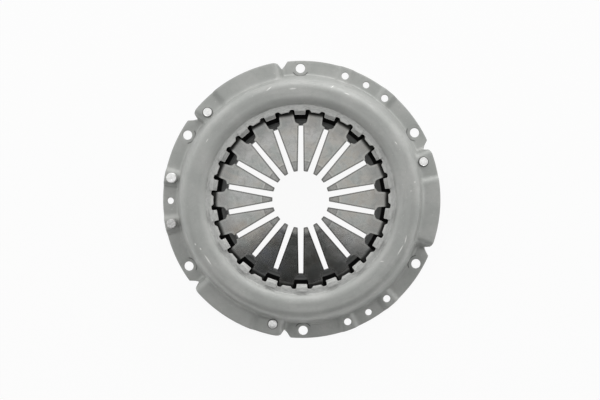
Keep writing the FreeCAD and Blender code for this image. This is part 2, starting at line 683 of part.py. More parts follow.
def diaphragm_finger(index):
    """One finger of the diaphragm spring with its share of the outer ring.

    The real spring is one blank that flexes where its ring is. Each finger is a piece of its own
    here, so that it can tilt about the fulcrum circle.
    """
    body = new_body(f"diaphragm_finger_{index + 1:02d}")
    chain = [
        ("Dims.tip_radius", "Fits.tip_under"),
        ("Dims.tip_bend_radius", "Fits.bend_under"),
        ("Dims.spring_radius", "Fits.edge_under"),
    ]
    bend = {1: ("Dims.tip_bend_round", "Dims.tip_bend_round + Dims.spring_sheet")}
    section = sheet_section(body, "finger_section", chain, "Dims.spring_sheet", bend)
    turn_about_axis(body, "PartDesign::Revolution", "cone", section, "Dims.finger_pitch")
    start = "Dims.tip_radius/2"
    end = "Dims.spring_radius + 2*Dims.spring_sheet"
    halves = [
        (start, "Dims.slot_width_tip/2"),
        ("Dims.window_start", "Dims.slot_width_root/2"),
        ("Dims.window_start", "Fits.window_half_start"),
        ("Fits.window_end", "Fits.window_half_end"),
        ("Fits.window_end", "Dims.spring_slit/2"),
        (end, "Dims.spring_slit/2"),
    ]
    mirrored = [(x, f"-({y})") for x, y in halves]
    points = mirrored + halves[::-1]
    rounds = {2: "Dims.window_round", 9: "Dims.window_round"}
    slot = outline(body, "slot_outline", "XY_Plane", points, None, rounds, "Dims.finger_pitch/2")
    cut = pocket(body, "slot", slot)
    mirror = body.newObject("PartDesign::Mirrored", "slots")
    mirror.Originals = [cut]
    mirror.MirrorPlane = (origin_part(body, "XZ_Plane"), [""])
    body.Tip = mirror
    body.setExpression("Placement.Rotation.Angle", f"Dims.finger_pitch*{index}*1deg")
    return body


def plate_section(body):
    """Section of the cast ring: friction face below, recess and chamfered land above."""
    land_side = "Fits.plate_back"
    shoulder = "Fits.land_top - Dims.land_chamfer"
    points = [
        ("Dims.plate_bore_radius", "Dims.face_height + Dims.plate_chamfer"),
        ("Dims.plate_bore_radius + Dims.plate_chamfer", "Dims.face_height"),
        ("Fits.plate_radius - Dims.plate_chamfer", "Dims.face_height"),
        ("Fits.plate_radius", "Dims.face_height + Dims.plate_chamfer"),
        ("Fits.plate_radius", "Fits.plate_back - Dims.plate_chamfer"),
        ("Fits.plate_radius - Dims.plate_chamfer", "Fits.plate_back"),
        ("Fits.land_radius + Dims.land_width/2 + Dims.land_flare", land_side),
        ("Fits.land_radius + Dims.land_width/2", shoulder),
        ("Fits.land_radius + Dims.land_crest/2", "Fits.land_top"),
        ("Fits.land_radius - Dims.land_crest/2", "Fits.land_top"),
        ("Fits.land_radius - Dims.land_width/2", shoulder),
        ("Fits.land_radius - Dims.land_width/2 - Dims.land_flare", land_side),
        ("Fits.recess_radius", "Fits.plate_back"),
        ("Fits.recess_radius - Dims.plate_chamfer", "Fits.plate_recess"),
        ("Dims.plate_bore_radius", "Fits.plate_recess"),
    ]
    return outline(body, "plate_section", "XZ_Plane", points)


def block_points(inner, outer, width):
    """Corners of a straight block along +X, centred on it."""
    half = f"({width})/2"
    return [(inner, f"-{half}"), (outer, f"-{half}"), (outer, half), (inner, half)]


def plate_lugs(body):
    """Three lugs with the hole for the strap rivet and a pocket for its tail."""
    points = block_points("Fits.plate_radius - 2*Dims.plate_chamfer", "Fits.lug_reach", "Dims.lug_width")
    rounds = {1: "Dims.lug_round", 2: "Dims.lug_round"}
    turn = "Dims.lug_angle"
    sketch = outline(body, "lug_outline", "XY_Plane", points, None, rounds, turn, "Dims.lug_bottom")
    lug = pad(body, "lug", sketch, "Dims.lug_top - Dims.lug_bottom")
    seat = [at("Dims.strap_circle_radius", turn)]
    hole = pocket(body, "lug_hole", circles(body, "lug_hole_circle", seat, "Fits.rivet_hole"))
    tail_radius = "Dims.rivet_tail_radius + Dims.tail_pocket_gap"
    tail_circle = circles(body, "tail_circle", seat, tail_radius, "Dims.lug_bottom")
    tail = pocket(body, "tail_pocket", tail_circle, "Dims.rivet_tail + Dims.tail_pocket_gap")
    repeat(body, "lugs", [lug, hole, tail], "Dims.segments")


def pressure_plate():
    """Cast ring with its friction face below, the broken land for the spring and three lugs."""
    body = new_body("pressure_plate")
    turn_about_axis(body, "PartDesign::Revolution", "ring", plate_section(body))
    plate_lugs(body)
    points = block_points("Fits.recess_radius", "Fits.lug_reach", "Dims.land_slot")
    turn = "Dims.finger_pitch/2"
    sketch = outline(body, "land_gap_outline", "XY_Plane", points, None, None, turn, "Fits.plate_back")
    gap = pocket(body, "land_gap", sketch, "Fits.land_top")
    repeat(body, "land_gaps", [gap], "Dims.finger_count")
    return body


def place_turned(body, index, radius, angle):
    """Turns a body with its segment and moves it out to a radius and an angle of that segment."""
    segment_turn = f"Dims.segment_pitch*{index}"
    centre = at(radius, f"{segment_turn} + ({angle})")
    turned = FreeCAD.Rotation(FreeCAD.Vector(0, 0, 1), number(segment_turn))
    body.Placement = FreeCAD.Placement(vector(centre), turned)
    body.setExpression("Placement.Base.x", centre[0])
    body.setExpression("Placement.Base.y", centre[1])


def corner_edges(shape):
    """Names of the four upright edges at the corners of a leaf."""
    names = []
    for index, edge in enumerate(shape.Edges, 1):
        box = edge.BoundBox
        upright = box.XLength < box.ZLength and box.YLength < box.ZLength
        if upright and math.isclose(abs(box.Center.y), number("Dims.strap_width/2"), rel_tol=1e-4):
            names.append(f"Edge{index}")
    return names


def drive_strap(segment, leaf):
    """One spring leaf between the cover's rivet pad and the lug of the plate."""
    body = new_body(f"drive_strap_{segment + 1}_leaf_{leaf + 1}")
    low = f"Dims.lug_top + {leaf}*Fits.leaf_pitch"
    high = f"Fits.pad_under - Fits.strap_pack + {leaf}*Fits.leaf_pitch"
    chain = [
        ("-Dims.strap_end", high),
        ("Dims.strap_flat", high),
        ("Fits.strap_span - Dims.strap_flat", low),
        ("Fits.strap_span + Dims.strap_end", low),
    ]
    outer_bend = "Dims.strap_bend + Dims.strap_sheet"
    bends = {1: ("Dims.strap_bend", outer_bend), 2: (outer_bend, "Dims.strap_bend")}
    section = sheet_section(body, "leaf_section", chain, "Dims.strap_sheet", bends)
    pad(body, "leaf", section, "Dims.strap_width", None, True)
    ends = [("0", "0"), ("Fits.strap_span", "0")]
    holes = pocket(body, "rivet_holes", circles(body, "rivet_hole_circles", ends, "Fits.rivet_hole"))
    corners = body.newObject("PartDesign::Fillet", "leaf_corners")
    corners.Base = (holes, corner_edges(holes.Shape))
    corners.setExpression("Radius", "Dims.strap_round")
    place_turned(body, segment, "Dims.strap_circle_radius", "Dims.strap_rivet_angle")
    chord = "Dims.strap_rivet_angle - Fits.strap_half_turn - 90"
    turn = f"Dims.segment_pitch*{segment} + {chord}"
    body.Placement.Rotation = FreeCAD.Rotation(FreeCAD.Vector(0, 0, 1), number(turn))
    body.setExpression("Placement.Rotation.Angle", f"({turn})*1deg")
    return body


def rivet(name, segment, angle, steps):
    """Riveted pin turned from a section of (radius, height) corners, on the strap circle."""
    body = new_body(name)
    points = [("0", steps[0][1])] + steps + [("0", steps[-1][1])]
    section = outline(body, "rivet_section", "XZ_Plane", points)
    turn_about_axis(body, "PartDesign::Revolution", "pin", section)
    place_turned(body, segment, "Dims.strap_circle_radius", angle)
    return body


def rivet_steps(tail_bottom, head_bottom):
    """Section of a strap rivet with its upset tail below and its head above."""
    tail_top = f"{tail_bottom} + Dims.rivet_tail"
    head_top = f"{head_bottom} + Dims.rivet_head"
    return [
        ("Dims.rivet_tail_radius", tail_bottom),
        ("Dims.rivet_tail_radius", tail_top),
        ("Dims.rivet_radius", tail_top),
        ("Dims.rivet_radius", head_bottom),
        ("Dims.rivet_head_radius", head_bottom),
        ("Dims.rivet_head_radius", head_top),
    ]


def cover_strap_rivet(segment):
    """Rivet that holds a strap pack under the rivet pad of its lobe."""
    steps = rivet_steps("Fits.pad_under - Fits.strap_pack - Dims.rivet_tail", "Fits.rivet_pad_top")
    return rivet(f"cover_strap_rivet_{segment + 1}", segment, "Dims.strap_rivet_angle", steps)


def lug_strap_rivet(segment):
    """Rivet that holds the other end of a strap pack on its lug."""
    tail_bottom = "Dims.lug_bottom + Dims.tail_pocket_gap"
    head_bottom = "Dims.lug_top + Fits.strap_pack + Dims.washer_sheet"
    steps = rivet_steps(tail_bottom, head_bottom)
    return rivet(f"lug_strap_rivet_{segment + 1}", segment, "Dims.lug_angle", steps)


def lug_washer(segment):
    """Washer between the top leaf and the lug rivet's head."""
    body = new_body(f"lug_washer_{segment + 1}")
    low = "Dims.lug_top + Fits.strap_pack"
    inner = "Fits.rivet_hole"
    points = [
        (inner, low),
        ("Dims.washer_radius", low),
        ("Dims.washer_radius", f"{low} + Dims.washer_sheet"),
        (inner, f"{low} + Dims.washer_sheet"),
    ]
    section = outline(body, "washer_section", "XZ_Plane", points)
    turn_about_axis(body, "PartDesign::Revolution", "washer", section)
    place_turned(body, segment, "Dims.strap_circle_radius", "Dims.lug_angle")
    return body


def balance_rivet(name, side, head_radius, head):
    """Weight riveted into a balance hole of the second flange segment."""
    body = new_body(name)
    shank = "Dims.balance_hole_radius - Dims.balance_shank_gap"
    points = [
        ("0", "Dims.balance_pad_rise - Dims.balance_tail"),
        ("Dims.balance_tail_radius", "Dims.balance_pad_rise - Dims.balance_tail"),
        ("Dims.balance_tail_radius", "Dims.balance_pad_rise"),
        (shank, "Dims.balance_pad_rise"),
        (shank, "Fits.balance_top"),
        (head_radius, "Fits.balance_top"),
        (head_radius, f"Fits.balance_top + {head} - Dims.weight_edge"),
        (f"{head_radius} - Dims.weight_edge", f"Fits.balance_top + {head}"),
        ("0", f"Fits.balance_top + {head}"),
    ]
    section = outline(body, "weight_section", "XZ_Plane", points)
    turn_about_axis(body, "PartDesign::Revolution", "weight", section)
    place_turned(body, 1, "Dims.balance_circle_radius", f"Dims.dowel_angle {side} Dims.balance_angle")
    return body


def build():
    """Every sub-part, in the order of the piece list."""
    nodes = [cover_pressing(), fulcrum_wire(), pressure_plate()]
    nodes += [diaphragm_finger(index) for index in range(count("Dims.finger_count"))]
    for segment in range(count("Dims.segments")):
        nodes += [drive_strap(segment, leaf) for leaf in range(count("Dims.strap_leaves"))]
        nodes += [cover_strap_rivet(segment), lug_strap_rivet(segment), lug_washer(segment)]
    light = ("Dims.light_weight_radius", "Dims.light_weight")
    heavy = ("Dims.heavy_weight_radius", "Dims.heavy_weight")
    nodes.append(balance_rivet("balance_rivet_light", "-", *light))
    nodes.append(balance_rivet("balance_rivet_heavy", "+", *heavy))
    document.recompute()
    return nodes


def check(nodes):
    """Every object has computed, and every node is one valid solid."""
    for item in document.Objects:
        bad = [state for state in item.State if state in ("Invalid", "Error")]
        if bad:
            raise RuntimeError(f"{item.Label} is {bad[0]}")
    for node in nodes:
        if node.Shape.isNull() or not node.Shape.isValid():
            raise RuntimeError(f"{node.Label} has no valid shape")
        if len(node.Shape.Solids) != 1:
            raise RuntimeError(f"{node.Label} has {len(node.Shape.Solids)} solids")


nodes = build()
check(nodes)
os.makedirs("parts", exist_ok=True)
for node in nodes:
    node.Shape.exportStep(f"parts/{node.Label}.step")
print(len(nodes), "nodes written")
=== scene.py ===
"""Looks of the diaphragm clutch cover assembly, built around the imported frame.

Sizes are in millimetres and angles in degrees, as in the CAD source, and MM turns sizes into the
frame's metres. The origin lies on the clutch axis in the flywheel plane, and +Z points to the gearbox.
"""

import math
import random

import bmesh
import bpy
import numpy as np
from mathutils import Euler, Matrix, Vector


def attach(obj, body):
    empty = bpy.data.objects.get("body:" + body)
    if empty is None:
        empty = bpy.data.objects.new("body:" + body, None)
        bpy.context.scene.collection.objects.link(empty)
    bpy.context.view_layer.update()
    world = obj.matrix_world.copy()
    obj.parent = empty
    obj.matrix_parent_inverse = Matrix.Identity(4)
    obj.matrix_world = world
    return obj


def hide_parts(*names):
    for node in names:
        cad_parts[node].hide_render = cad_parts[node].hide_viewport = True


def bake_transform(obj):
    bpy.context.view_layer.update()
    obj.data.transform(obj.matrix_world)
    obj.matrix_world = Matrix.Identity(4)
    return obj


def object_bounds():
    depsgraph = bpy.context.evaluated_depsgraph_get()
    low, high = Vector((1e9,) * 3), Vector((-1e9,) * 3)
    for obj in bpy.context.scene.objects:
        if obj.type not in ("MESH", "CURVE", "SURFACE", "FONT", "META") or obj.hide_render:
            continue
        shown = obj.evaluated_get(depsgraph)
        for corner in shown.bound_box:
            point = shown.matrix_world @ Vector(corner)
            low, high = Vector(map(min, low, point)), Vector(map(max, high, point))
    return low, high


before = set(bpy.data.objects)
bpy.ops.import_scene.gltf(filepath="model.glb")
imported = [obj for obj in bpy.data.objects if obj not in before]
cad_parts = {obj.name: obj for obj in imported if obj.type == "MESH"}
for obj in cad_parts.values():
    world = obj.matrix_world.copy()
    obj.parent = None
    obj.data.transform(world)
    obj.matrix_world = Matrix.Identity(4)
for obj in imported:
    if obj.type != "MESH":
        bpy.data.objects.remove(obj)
cad_low, cad_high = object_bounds()
scene = bpy.context.scene
chance = random.Random(17)

MM = 0.001

# Sheet and pressing
SHEET = 3.5
FLANGE_RADIUS = 139.0
LOBE_RADIUS = 136.2
NOTCH_RADIUS = 131.0
CORNER_RADIUS = 133.8
FLANGE_CORNER = 24.7
LOBE_END = 22.1
CORNER_END = 21.0
CORNER_START = 18.2
LOBE_STEP = 10.6
LOBE_TOP = 24.5
RIVET_PAD_TOP = 21.5
LOBE_DRAFT = 8.0
BALANCE_PAD = (45.4, 54.4)
BALANCE_TOP = 6.5
BALANCE_DRAFT = 30.0
LOBE_EDGE = 5.2
LOBE_FILLET = 3.6
PAD_EDGE = 2.4
PAD_FILLET = 1.6
PRESS_FILLET = 2.2
FORM_RADIUS = 128.0
FLAT_BELOW = 8.0
SEGMENTS = 3
SEGMENT_PITCH = 120.0

# Columns of the pressing's mesh in each third, rows over its bends and runs, and the section's step
COLUMNS = 222
COLUMN_SAMPLES = 12001
SHOULDER_ROWS = 9
WALL_ROWS = 7
FOOT_ROWS = 6
FLANGE_ROWS = 8
SECTION_STEP = 0.8

# Dome, bead and lip
WALL_FOOT = 124.4
WALL_DRAFT = 15.6
CREST_HEIGHT = 41.0
SHOULDER = 9.5
CREST_INNER = 95.2
CREST_ROUND = 10.5
VALLEY = (91.6, 35.8)
VALLEY_ROUND = 1.0
RIDGE = (86.9, 35.87)
RIDGE_ROUND = 3.8
LIP_RADIUS = 84.6
TRIM_EDGE = 0.6
FULCRUM_RADIUS = 90.5
SHOULDER_CENTRE = (
    WALL_FOOT
    - (CREST_HEIGHT - SHOULDER - SHEET) * math.tan(math.radians(WALL_DRAFT))
    - SHOULDER / math.cos(math.radians(WALL_DRAFT)),
    CREST_HEIGHT - SHOULDER,
)

# Radii between which marks of the pressing fade in: a lighter band over the bead, streaks of lip and wall
LIGHTER_BEAD_INSIDE = (93.0, 91.0)
LIGHTER_BEAD_OUTSIDE = (99.0, 95.0)
DRAWN_LIP = (93.5, 91.5)
SWEPT_WALL = (126.0, 120.0)

# Retaining tabs, whose roots lie a hair under the ridge, and the notches beside them
TABS = 18
TAB_PITCH = 20.0
TAB_FIRST = 10.0
TAB_WIDTH = 10.3
TAB_TOP = 81.4
TAB_FOOT = 83.7
TAB_FOLD_HEIGHT = 19.35
TAB_FOLD_END = 92.6
TAB_ROOT = 87.0
TAB_BEND = 5.0
TAB_FOLD = 5.0
TAB_EDGE = 0.5
TAB_DROP = 0.03
RELIEF_RADIUS = 86.6
RELIEF_FLOOR = (5.6, 9.2)
RELIEF_MOUTH = 11.1
RELIEF_ROUND = 1.5
RELIEF_FLARE = 0.4
RELIEF_START = 80.6

# Holes
BOLTS = 6
BOLT_FIRST = 30.0
BOLT_PITCH = 60.0
BOLT_CIRCLE = 131.5
BOLT_HOLE = 4.7
SPOT_FACE = 8.2
SPOT_DEPTH = 0.15
DOWEL_FIRST = 60.0
DOWEL_CIRCLE = 131.6
DOWEL_HOLE = 3.25
BALANCE_CIRCLE = 130.8
BALANCE_HOLE = 3.6
BALANCE_ANGLE = 10.0
STRAP_CIRCLE = 125.3
COVER_RIVET_ANGLE = 16.5
LUG_ANGLE = -11.5
RIVET_HOLE = 3.0
HOLE_EDGE = 0.5

# Diaphragm spring
FINGERS = 18
FINGER_PITCH = 20.0
CONE = 12.0
SPRING_SHEET = 2.8
SPRING_RADIUS = 110.5
SPRING_HEIGHT = 29.0
SPRING_TURN = -0.6
TIP_RADIUS = 27.3
TIP_BEND = 32.0
TIP_SLOPE = 4.0
BEND_SHARPNESS = 9.0
SLOT_TIP = 3.2
SLOT_ROOT = 2.62
WINDOW_START = 72.9
WINDOW_END = 87.9
WINDOW_HALF_START = 5.7
WINDOW_HALF_END = 9.1
WINDOW_ROUND = 3.7
SLIT_HALF = 0.125
FINGER_EDGE = 0.4
FINGER_STEP = 0.12

# Angle up to which the thin pieces are shaded smooth
THIN_SMOOTH = 40.0

# Marks on the spring, and painted shade towards the finger roots: a middle radius and half a width, or the
# radii between which a mark or the shade fades in
POLISHED_RING = (37.8, 0.4)
TRACK_LINE = (36.4, 0.15)
BEARING_TRACK = (37.3, 36.2)
TIP_STAIN = (32.0, 29.0)
PAINTED_ROOT_SHADE = (64.0, 76.0)

# Drive straps and rivets
STRAP_SPAN = 60.63
STRAP_WIDTH = 12.0
STRAP_SHEET = 0.6
LEAVES = 3
LEAF_PITCH = 0.63
STRAP_END = 5.6
STRAP_FLAT = 8.5
STRAP_ROUND = 5.0
STRAP_BEND = 6.3
STRAP_HIGH = 16.11
STRAP_LOW = 10.2
STRAP_EDGE = 0.12
DRILL_TOP = 30.0
SHANK = 2.95
UPSET = 2.0
PIN_TAIL = 4.5
PIN_HEAD = 4.25
PIN_HEIGHT = 2.4
PIN_EDGE = 0.45
PIN_MARK = 3.3
MARK_OUTSIDE = 0.3
MARK_INSIDE = 0.35
MARK_DEPTH = 0.22
HEAD_DISH = 0.05
LUG_TAIL_TOP = 7.3
WASHER_RADIUS = 5.6
WASHER_SHEET = 1.0

# Balance rivets each side of one dowel hole: radius and top of each head, and what both share
LIGHT_HEAD = (5.0, 13.0)
HEAVY_HEAD = (4.65, 16.0)
WEIGHT_ANGLE = 180.0
WEIGHT_TAIL = 4.6
WEIGHT_GAP = 0.05
WEIGHT_EDGE = 0.7
WEIGHT_MARK = 1.1

# Pressure plate: collar round its bore, land under the spring, edge of its turned face, and a painted shadow
# ring where it lies under the cover
COLLAR_RADIUS = 79.4
LAND_RADIUS = 107.0
LAND_HEIGHT = (22.9, 23.3)
FACE_EDGE = 4.6
PAINTED_SHADOW_RING = (91.5, 11.5)

# Camera of the photograph; the frame and what is named PX are in its pixels
FRAME_WIDTH = 600
FRAME_HEIGHT = 400
FOCAL_PX = 848.3
CAMERA_AT = (22.2, 0.0, 853.5)
AXIS_POINT = (0.0, 0.0, 3.5)
AXIS_PX = (301.73, 199.36)
CAMERA_ROLL = -0.6

# Stage: pale floor, dark card before the object and soft lamp behind it
FLOOR_GAP = 0.05
FLOOR_SIZE = (12000, 12000)
CARD_AT = (0, -3560)
CARD_SIZE = (9000, 6000)
CARD_HEIGHT = 1500
LAMP_AT = (550, 2100, 800)
LAMP_SIZE = (1800, 800)
LAMP_RADIANCE = 3.6


# Meshes

def link_object(name, data):
    """New object of the scene."""
    obj = bpy.data.objects.new(name, data)
    scene.collection.objects.link(obj)
    return obj


def make_object(name, points, faces):
    """Object from points in millimetres, with its faces turned outwards."""
    mesh = bpy.data.meshes.new(name)
    mesh.from_pydata((np.asarray(points, float) * MM).tolist(), [], faces)
    work = bmesh.new()
    work.from_mesh(mesh)
    bmesh.ops.recalc_face_normals(work, faces=work.faces)
    work.to_mesh(mesh)
    work.free()
    return link_object(name, mesh)


def smooth(obj, angle=32.0):
    """Smooth shading up to an angle between faces."""
    obj.data.polygons.foreach_set("use_smooth", [True] * len(obj.data.polygons))
    obj.data.set_sharp_from_angle(angle=math.radians(angle))
    return obj


def merged(parts):
    """Points and faces of several closed forms as one list."""
    points = []
    faces = []
    for more_points, more_faces in parts:
        start = len(points)
        points.extend(more_points)
        faces.extend([[start + i for i in face] for face in more_faces])
    return points, faces


def polar(radius, angle):
    return (radius * math.cos(math.radians(angle)), radius * math.sin(math.radians(angle)))


def turned(form, angle, centre=(0.0, 0.0)):
    """Form turned about its own vertical axis and then moved."""
    points, faces = form
    c, s = polar(1.0, angle)
    moved = [(x * c - y * s + centre[0], x * s + y * c + centre[1], z) for x, y, z in points]
    return moved, faces


def shares(steps):
    """Equal steps from nothing up to one, without the start."""
    return np.linspace(0, 1, steps + 1)[1:]


def run(first, last, steps):
    """Points along a straight run, without its start."""
    return [tuple(point) for point in first + shares(steps)[:, None] * np.subtract(last, first)]


def tube(rings):
    """Faces between rings of points, each ring joined to the next."""
    faces = []
    for low, high in zip(rings, rings[1:]):
        for k in range(len(low)):
            after = (k + 1) % len(low)
            faces.append(list(dict.fromkeys([low[k], low[after], high[after], high[k]])))
    return faces


def unit(vectors):
    return vectors / np.linalg.norm(vectors, axis=-1, keepdims=True)


def rounded_path(corners, rounds, spacing):
    """Points along a bent line, its corners rounded and its runs divided."""
    knots = [np.array(corner, float) for corner in corners]
    path = [knots[0]]
    for i in range(1, len(knots) - 1):
        radius = rounds.get(i, 0.0)
        back = unit(knots[i - 1] - knots[i])
        ahead = unit(knots[i + 1] - knots[i])
        turn = math.pi - math.acos(np.clip(back @ ahead, -1.0, 1.0))
        if radius == 0.0 or turn < 1e-3:
            path.append(knots[i])
            continue
        reach = radius * math.tan(turn / 2)
        centre = knots[i] + unit(back + ahead) * radius / math.cos(turn / 2)
        first = knots[i] + back * reach - centre
        last = knots[i] + ahead * reach - centre
        steps = max(2, math.ceil(turn * radius / spacing), math.ceil(math.degrees(turn) / 18))
        for step in range(steps + 1):
            share = step / steps
            arm = first * math.sin((1 - share) * turn) + last * math.sin(share * turn)
            path.append(centre + arm / math.sin(turn))
    path.append(knots[-1])
    fine = [path[0]]
    for start, end in zip(path, path[1:]):
        steps = max(1, math.ceil(np.linalg.norm(end - start) / (3 * spacing)))
        fine.extend(run(start, end, steps))
    return np.array(fine)


def left_of(along):
    """Unit vectors to the left of directions in a plane."""
    along = unit(along)
    return np.stack([-along[:, 1], along[:, 0]], axis=1)


def path_normals(path):
    return left_of(np.gradient(path, axis=0))


def lathe(profile, segments, closed=False):
    """Form turned from a profile of radii and heights; an open profile starts and ends on the axis."""
    points = []
    rings = []
    for radius, height in profile:
        if radius < 1e-6:
            rings.append([len(points)] * segments)
            points.append((0.0, 0.0, height))
            continue
        rings.append(list(range(len(points), len(points) + segments)))
        points.extend((*polar(radius, 360 * k / segments), height) for k in range(segments))
    if closed:
        rings.append(rings[0])
    return points, tube(rings)


def sweep(path, half_widths, thickness, edge):
    """Strip of sheet along a path of lengths and heights, its long edges rounded."""
    normals = path_normals(path)
    half = thickness / 2
    points = []
    for (along, height), (across, up), width in zip(path, normals, half_widths):
        for side, face in ((1, 1), (-1, 1), (-1, -1), (1, -1)):
            turns = (0, 45, 90) if side * face > 0 else (90, 45, 0)
            for turn in turns:
                out, rise = polar(edge, turn)
                lift = face * (half - edge + rise)
                points.append((along + across * lift, side * (width - edge + out), height + up * lift))
    rings = np.arange(len(points)).reshape(len(path), -1).tolist()
    return points, tube(rings) + [rings[0], rings[-1]]


def prism(outline, low, high):
    """Upright form over a flat outline."""
    points = [(x, y, z) for z in (low, high) for x, y in outline]
    ends = np.arange(len(points)).reshape(2, -1).tolist()
    return points, tube(ends) + ends


def carve(obj, form, operation):
    """Joins a closed form to an object's mesh or cuts it away."""
    tool = make_object("tool", *form)
    modifier = obj.modifiers.new("carve", "BOOLEAN")
    modifier.object = tool
    modifier.operation = operation
    modifier.solver = "MANIFOLD"
    graph = bpy.context.evaluated_depsgraph_get()
    result = bpy.data.meshes.new_from_object(obj.evaluated_get(graph))
    obj.modifiers.clear()
    obj.data = result
    bpy.data.objects.remove(tool)


def finish_piece(piece, material, body, node):
    """Gives a piece its material and the body it rides on, and hides the CAD node it stands for."""
    piece.data.materials.clear()
    piece.data.materials.append(material)
    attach(piece, body)
    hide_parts(node)


# Cover pressing

def round_union(a, b, radius):
    """Distance to two forms joined with a fillet."""
    hollow = np.hypot(np.maximum(radius - a, 0), np.maximum(radius - b, 0))
    return np.maximum(radius, np.minimum(a, b)) - hollow


def round_common(a, b, radius):
    """Distance to what two forms share, its edge rounded."""
    bulge = np.hypot(np.maximum(radius + a, 0), np.maximum(radius + b, 0))
    return np.minimum(-radius, np.maximum(a, b)) + bulge


def lobe_turn(angle):
    """Degrees from the middle of the nearest lobe to an angle in radians."""
    return (np.degrees(angle) + SEGMENT_PITCH / 2) % SEGMENT_PITCH - SEGMENT_PITCH / 2


def block_distance(radius, turn, z, first, last, top, draft, edge):
    """Distance to a drafted block between two angles."""
    lean = math.radians(draft)
    before = radius * np.sin(np.radians(first - turn))
    after = radius * np.sin(np.radians(turn - last))
    side = np.maximum(before, after) * math.cos(lean) + z * math.sin(lean)
    return round_common(side, z - top, edge)


def dome_distance(radius, z):
    """Distance to the dome outside its crest, its shoulder a true arc."""
    lean = math.radians(WALL_DRAFT)
    side = (radius - WALL_FOOT) * math.cos(lean) + (z - SHEET) * math.sin(lean)
    flat = np.maximum(z - CREST_HEIGHT, side)
    out = radius - SHOULDER_CENTRE[0]
    up = z - SHOULDER_CENTRE[1]
    on_arc = (out > 0) & (up > out * math.tan(lean))
    return np.where(on_arc, np.hypot(out, up) - SHOULDER, flat)


def press_waves(x, y):
    """Slight unevenness of a deep-drawn sheet."""
    total = np.zeros_like(x)
    for direction, pitch, phase, depth in WAVES:
        place = x * math.cos(direction) + y * math.sin(direction)
        total += depth * np.sin(2 * math.pi * place / pitch + phase)
    return total


def low_forms(x, y, z):
    """Distance to the flange with its balance pads and the three lobes."""
    radius = np.hypot(x, y)
    turn = lobe_turn(np.arctan2(y, x))
    pads = block_distance(radius, np.abs(turn), z, *BALANCE_PAD, BALANCE_TOP, BALANCE_DRAFT, PAD_EDGE)
    low = block_distance(radius, turn, z, -LOBE_END, LOBE_END, RIVET_PAD_TOP, LOBE_DRAFT, LOBE_EDGE)
    high = block_distance(radius, turn, z, -LOBE_END, LOBE_STEP, LOBE_TOP, LOBE_DRAFT, LOBE_EDGE)
    lobes = round_union(low, high, PAD_FILLET)
    form = round_union(z - SHEET, pads, PAD_FILLET)
    return round_union(form, lobes, LOBE_FILLET)


def pressed_form(x, y, z):
    """Distance above the top skin outside the crest, with every form run into the next."""
    dome = dome_distance(np.hypot(x, y), z)
    drawn = np.clip((z - FLAT_BELOW) / FLAT_BELOW, 0, 1)
    fillet = PRESS_FILLET + (LOBE_FILLET - PRESS_FILLET) * drawn
    return round_union(low_forms(x, y, z), dome, fillet) + press_waves(x, y) * drawn


def form_gradient(points):
    """Direction away from the skin."""
    step = 0.01
    parts = []
    for shift in np.eye(3) * step:
        ahead = pressed_form(*np.moveaxis(points + shift, -1, 0))
        behind = pressed_form(*np.moveaxis(points - shift, -1, 0))
        parts.append((ahead - behind) / (2 * step))
    return np.stack(parts, axis=-1)


def settle(points, level):
    """Moves points onto the skin or onto a layer below it."""
    for _ in range(4):
        slope = form_gradient(points)
        gap = pressed_form(*np.moveaxis(points, -1, 0)) - level
        length = np.maximum(np.sum(slope * slope, axis=-1), 0.25)
        points = points - slope * (gap / length)[..., None]
    return points


def rim_radius(turn):
    """Edge of the blank at an angle from the middle of a lobe."""
    turn = np.abs(turn)
    angles = [CORNER_START, CORNER_END, LOBE_END, FLANGE_CORNER]
    radii = [LOBE_RADIUS, CORNER_RADIUS, NOTCH_RADIUS, FLANGE_RADIUS]
    edge = np.interp(turn, angles, radii)
    share = np.clip((turn - CORNER_START) / (CORNER_END - CORNER_START), 0, 1)
    corner = CORNER_RADIUS + (LOBE_RADIUS - CORNER_RADIUS) * np.sqrt(1 - share**2)
    return np.where(turn < CORNER_END, corner, edge)


def form_height(angle):
    """Top of the flange, pad or lobe at each angle."""
    x = FORM_RADIUS * np.cos(angle)
    y = FORM_RADIUS * np.sin(angle)
    low = np.full_like(angle, SHEET - 1)
    high = np.full_like(angle, LOBE_TOP + 1)
    for _ in range(30):
        middle = (low + high) / 2
        outside = low_forms(x, y, middle) > 0
        high = np.where(outside, middle, high)
        low = np.where(outside, low, middle)
    return (low + high) / 2


def column_angles():
    """Angles of the mesh columns of one third, closer together where the skin is steep."""
    half = math.radians(SEGMENT_PITCH / 2)
    angle = np.linspace(-half, half, COLUMN_SAMPLES)
    height = form_height(angle)
    edge = rim_radius(np.degrees(angle))
    steps = np.hypot(FORM_RADIUS * np.diff(angle), np.diff(height))
    way = np.cumsum(np.concatenate([[0.0], np.hypot(steps, np.diff(edge))]))
    return np.interp(np.linspace(0, way[-1], COLUMNS + 1)[:-1], way, angle)


def outer_rows(height, edge):
    """Radii and heights from the shoulder down the wall and out to the rim, one row per list entry."""
    lean = math.radians(WALL_DRAFT)
    rows = []
    for share in np.linspace(0, 1, SHOULDER_ROWS + 1):
        bend = share * (math.pi / 2 - lean)
        radius = SHOULDER_CENTRE[0] + SHOULDER * math.sin(bend)
        rows.append((radius, SHOULDER_CENTRE[1] + SHOULDER * math.cos(bend)))
    wall_start = SHOULDER_CENTRE[1] + SHOULDER * math.sin(lean)
    for share in shares(WALL_ROWS):
        z = wall_start + (height + PRESS_FILLET - wall_start) * share
        rows.append((WALL_FOOT - (z - SHEET) * math.tan(lean), z))
    wall_low = rows[-1][0]
    for share in shares(FOOT_ROWS):
        swing = share * math.pi / 2
        radius = wall_low + PRESS_FILLET * (1 - math.cos(swing))
        rows.append((radius, height + PRESS_FILLET * (1 - math.sin(swing))))
    plateau = rows[-1][0]
    for share in shares(FLANGE_ROWS):
        rows.append((plateau + (edge - TRIM_EDGE - plateau) * share, height))
    rows.append((edge, height))
    return rows


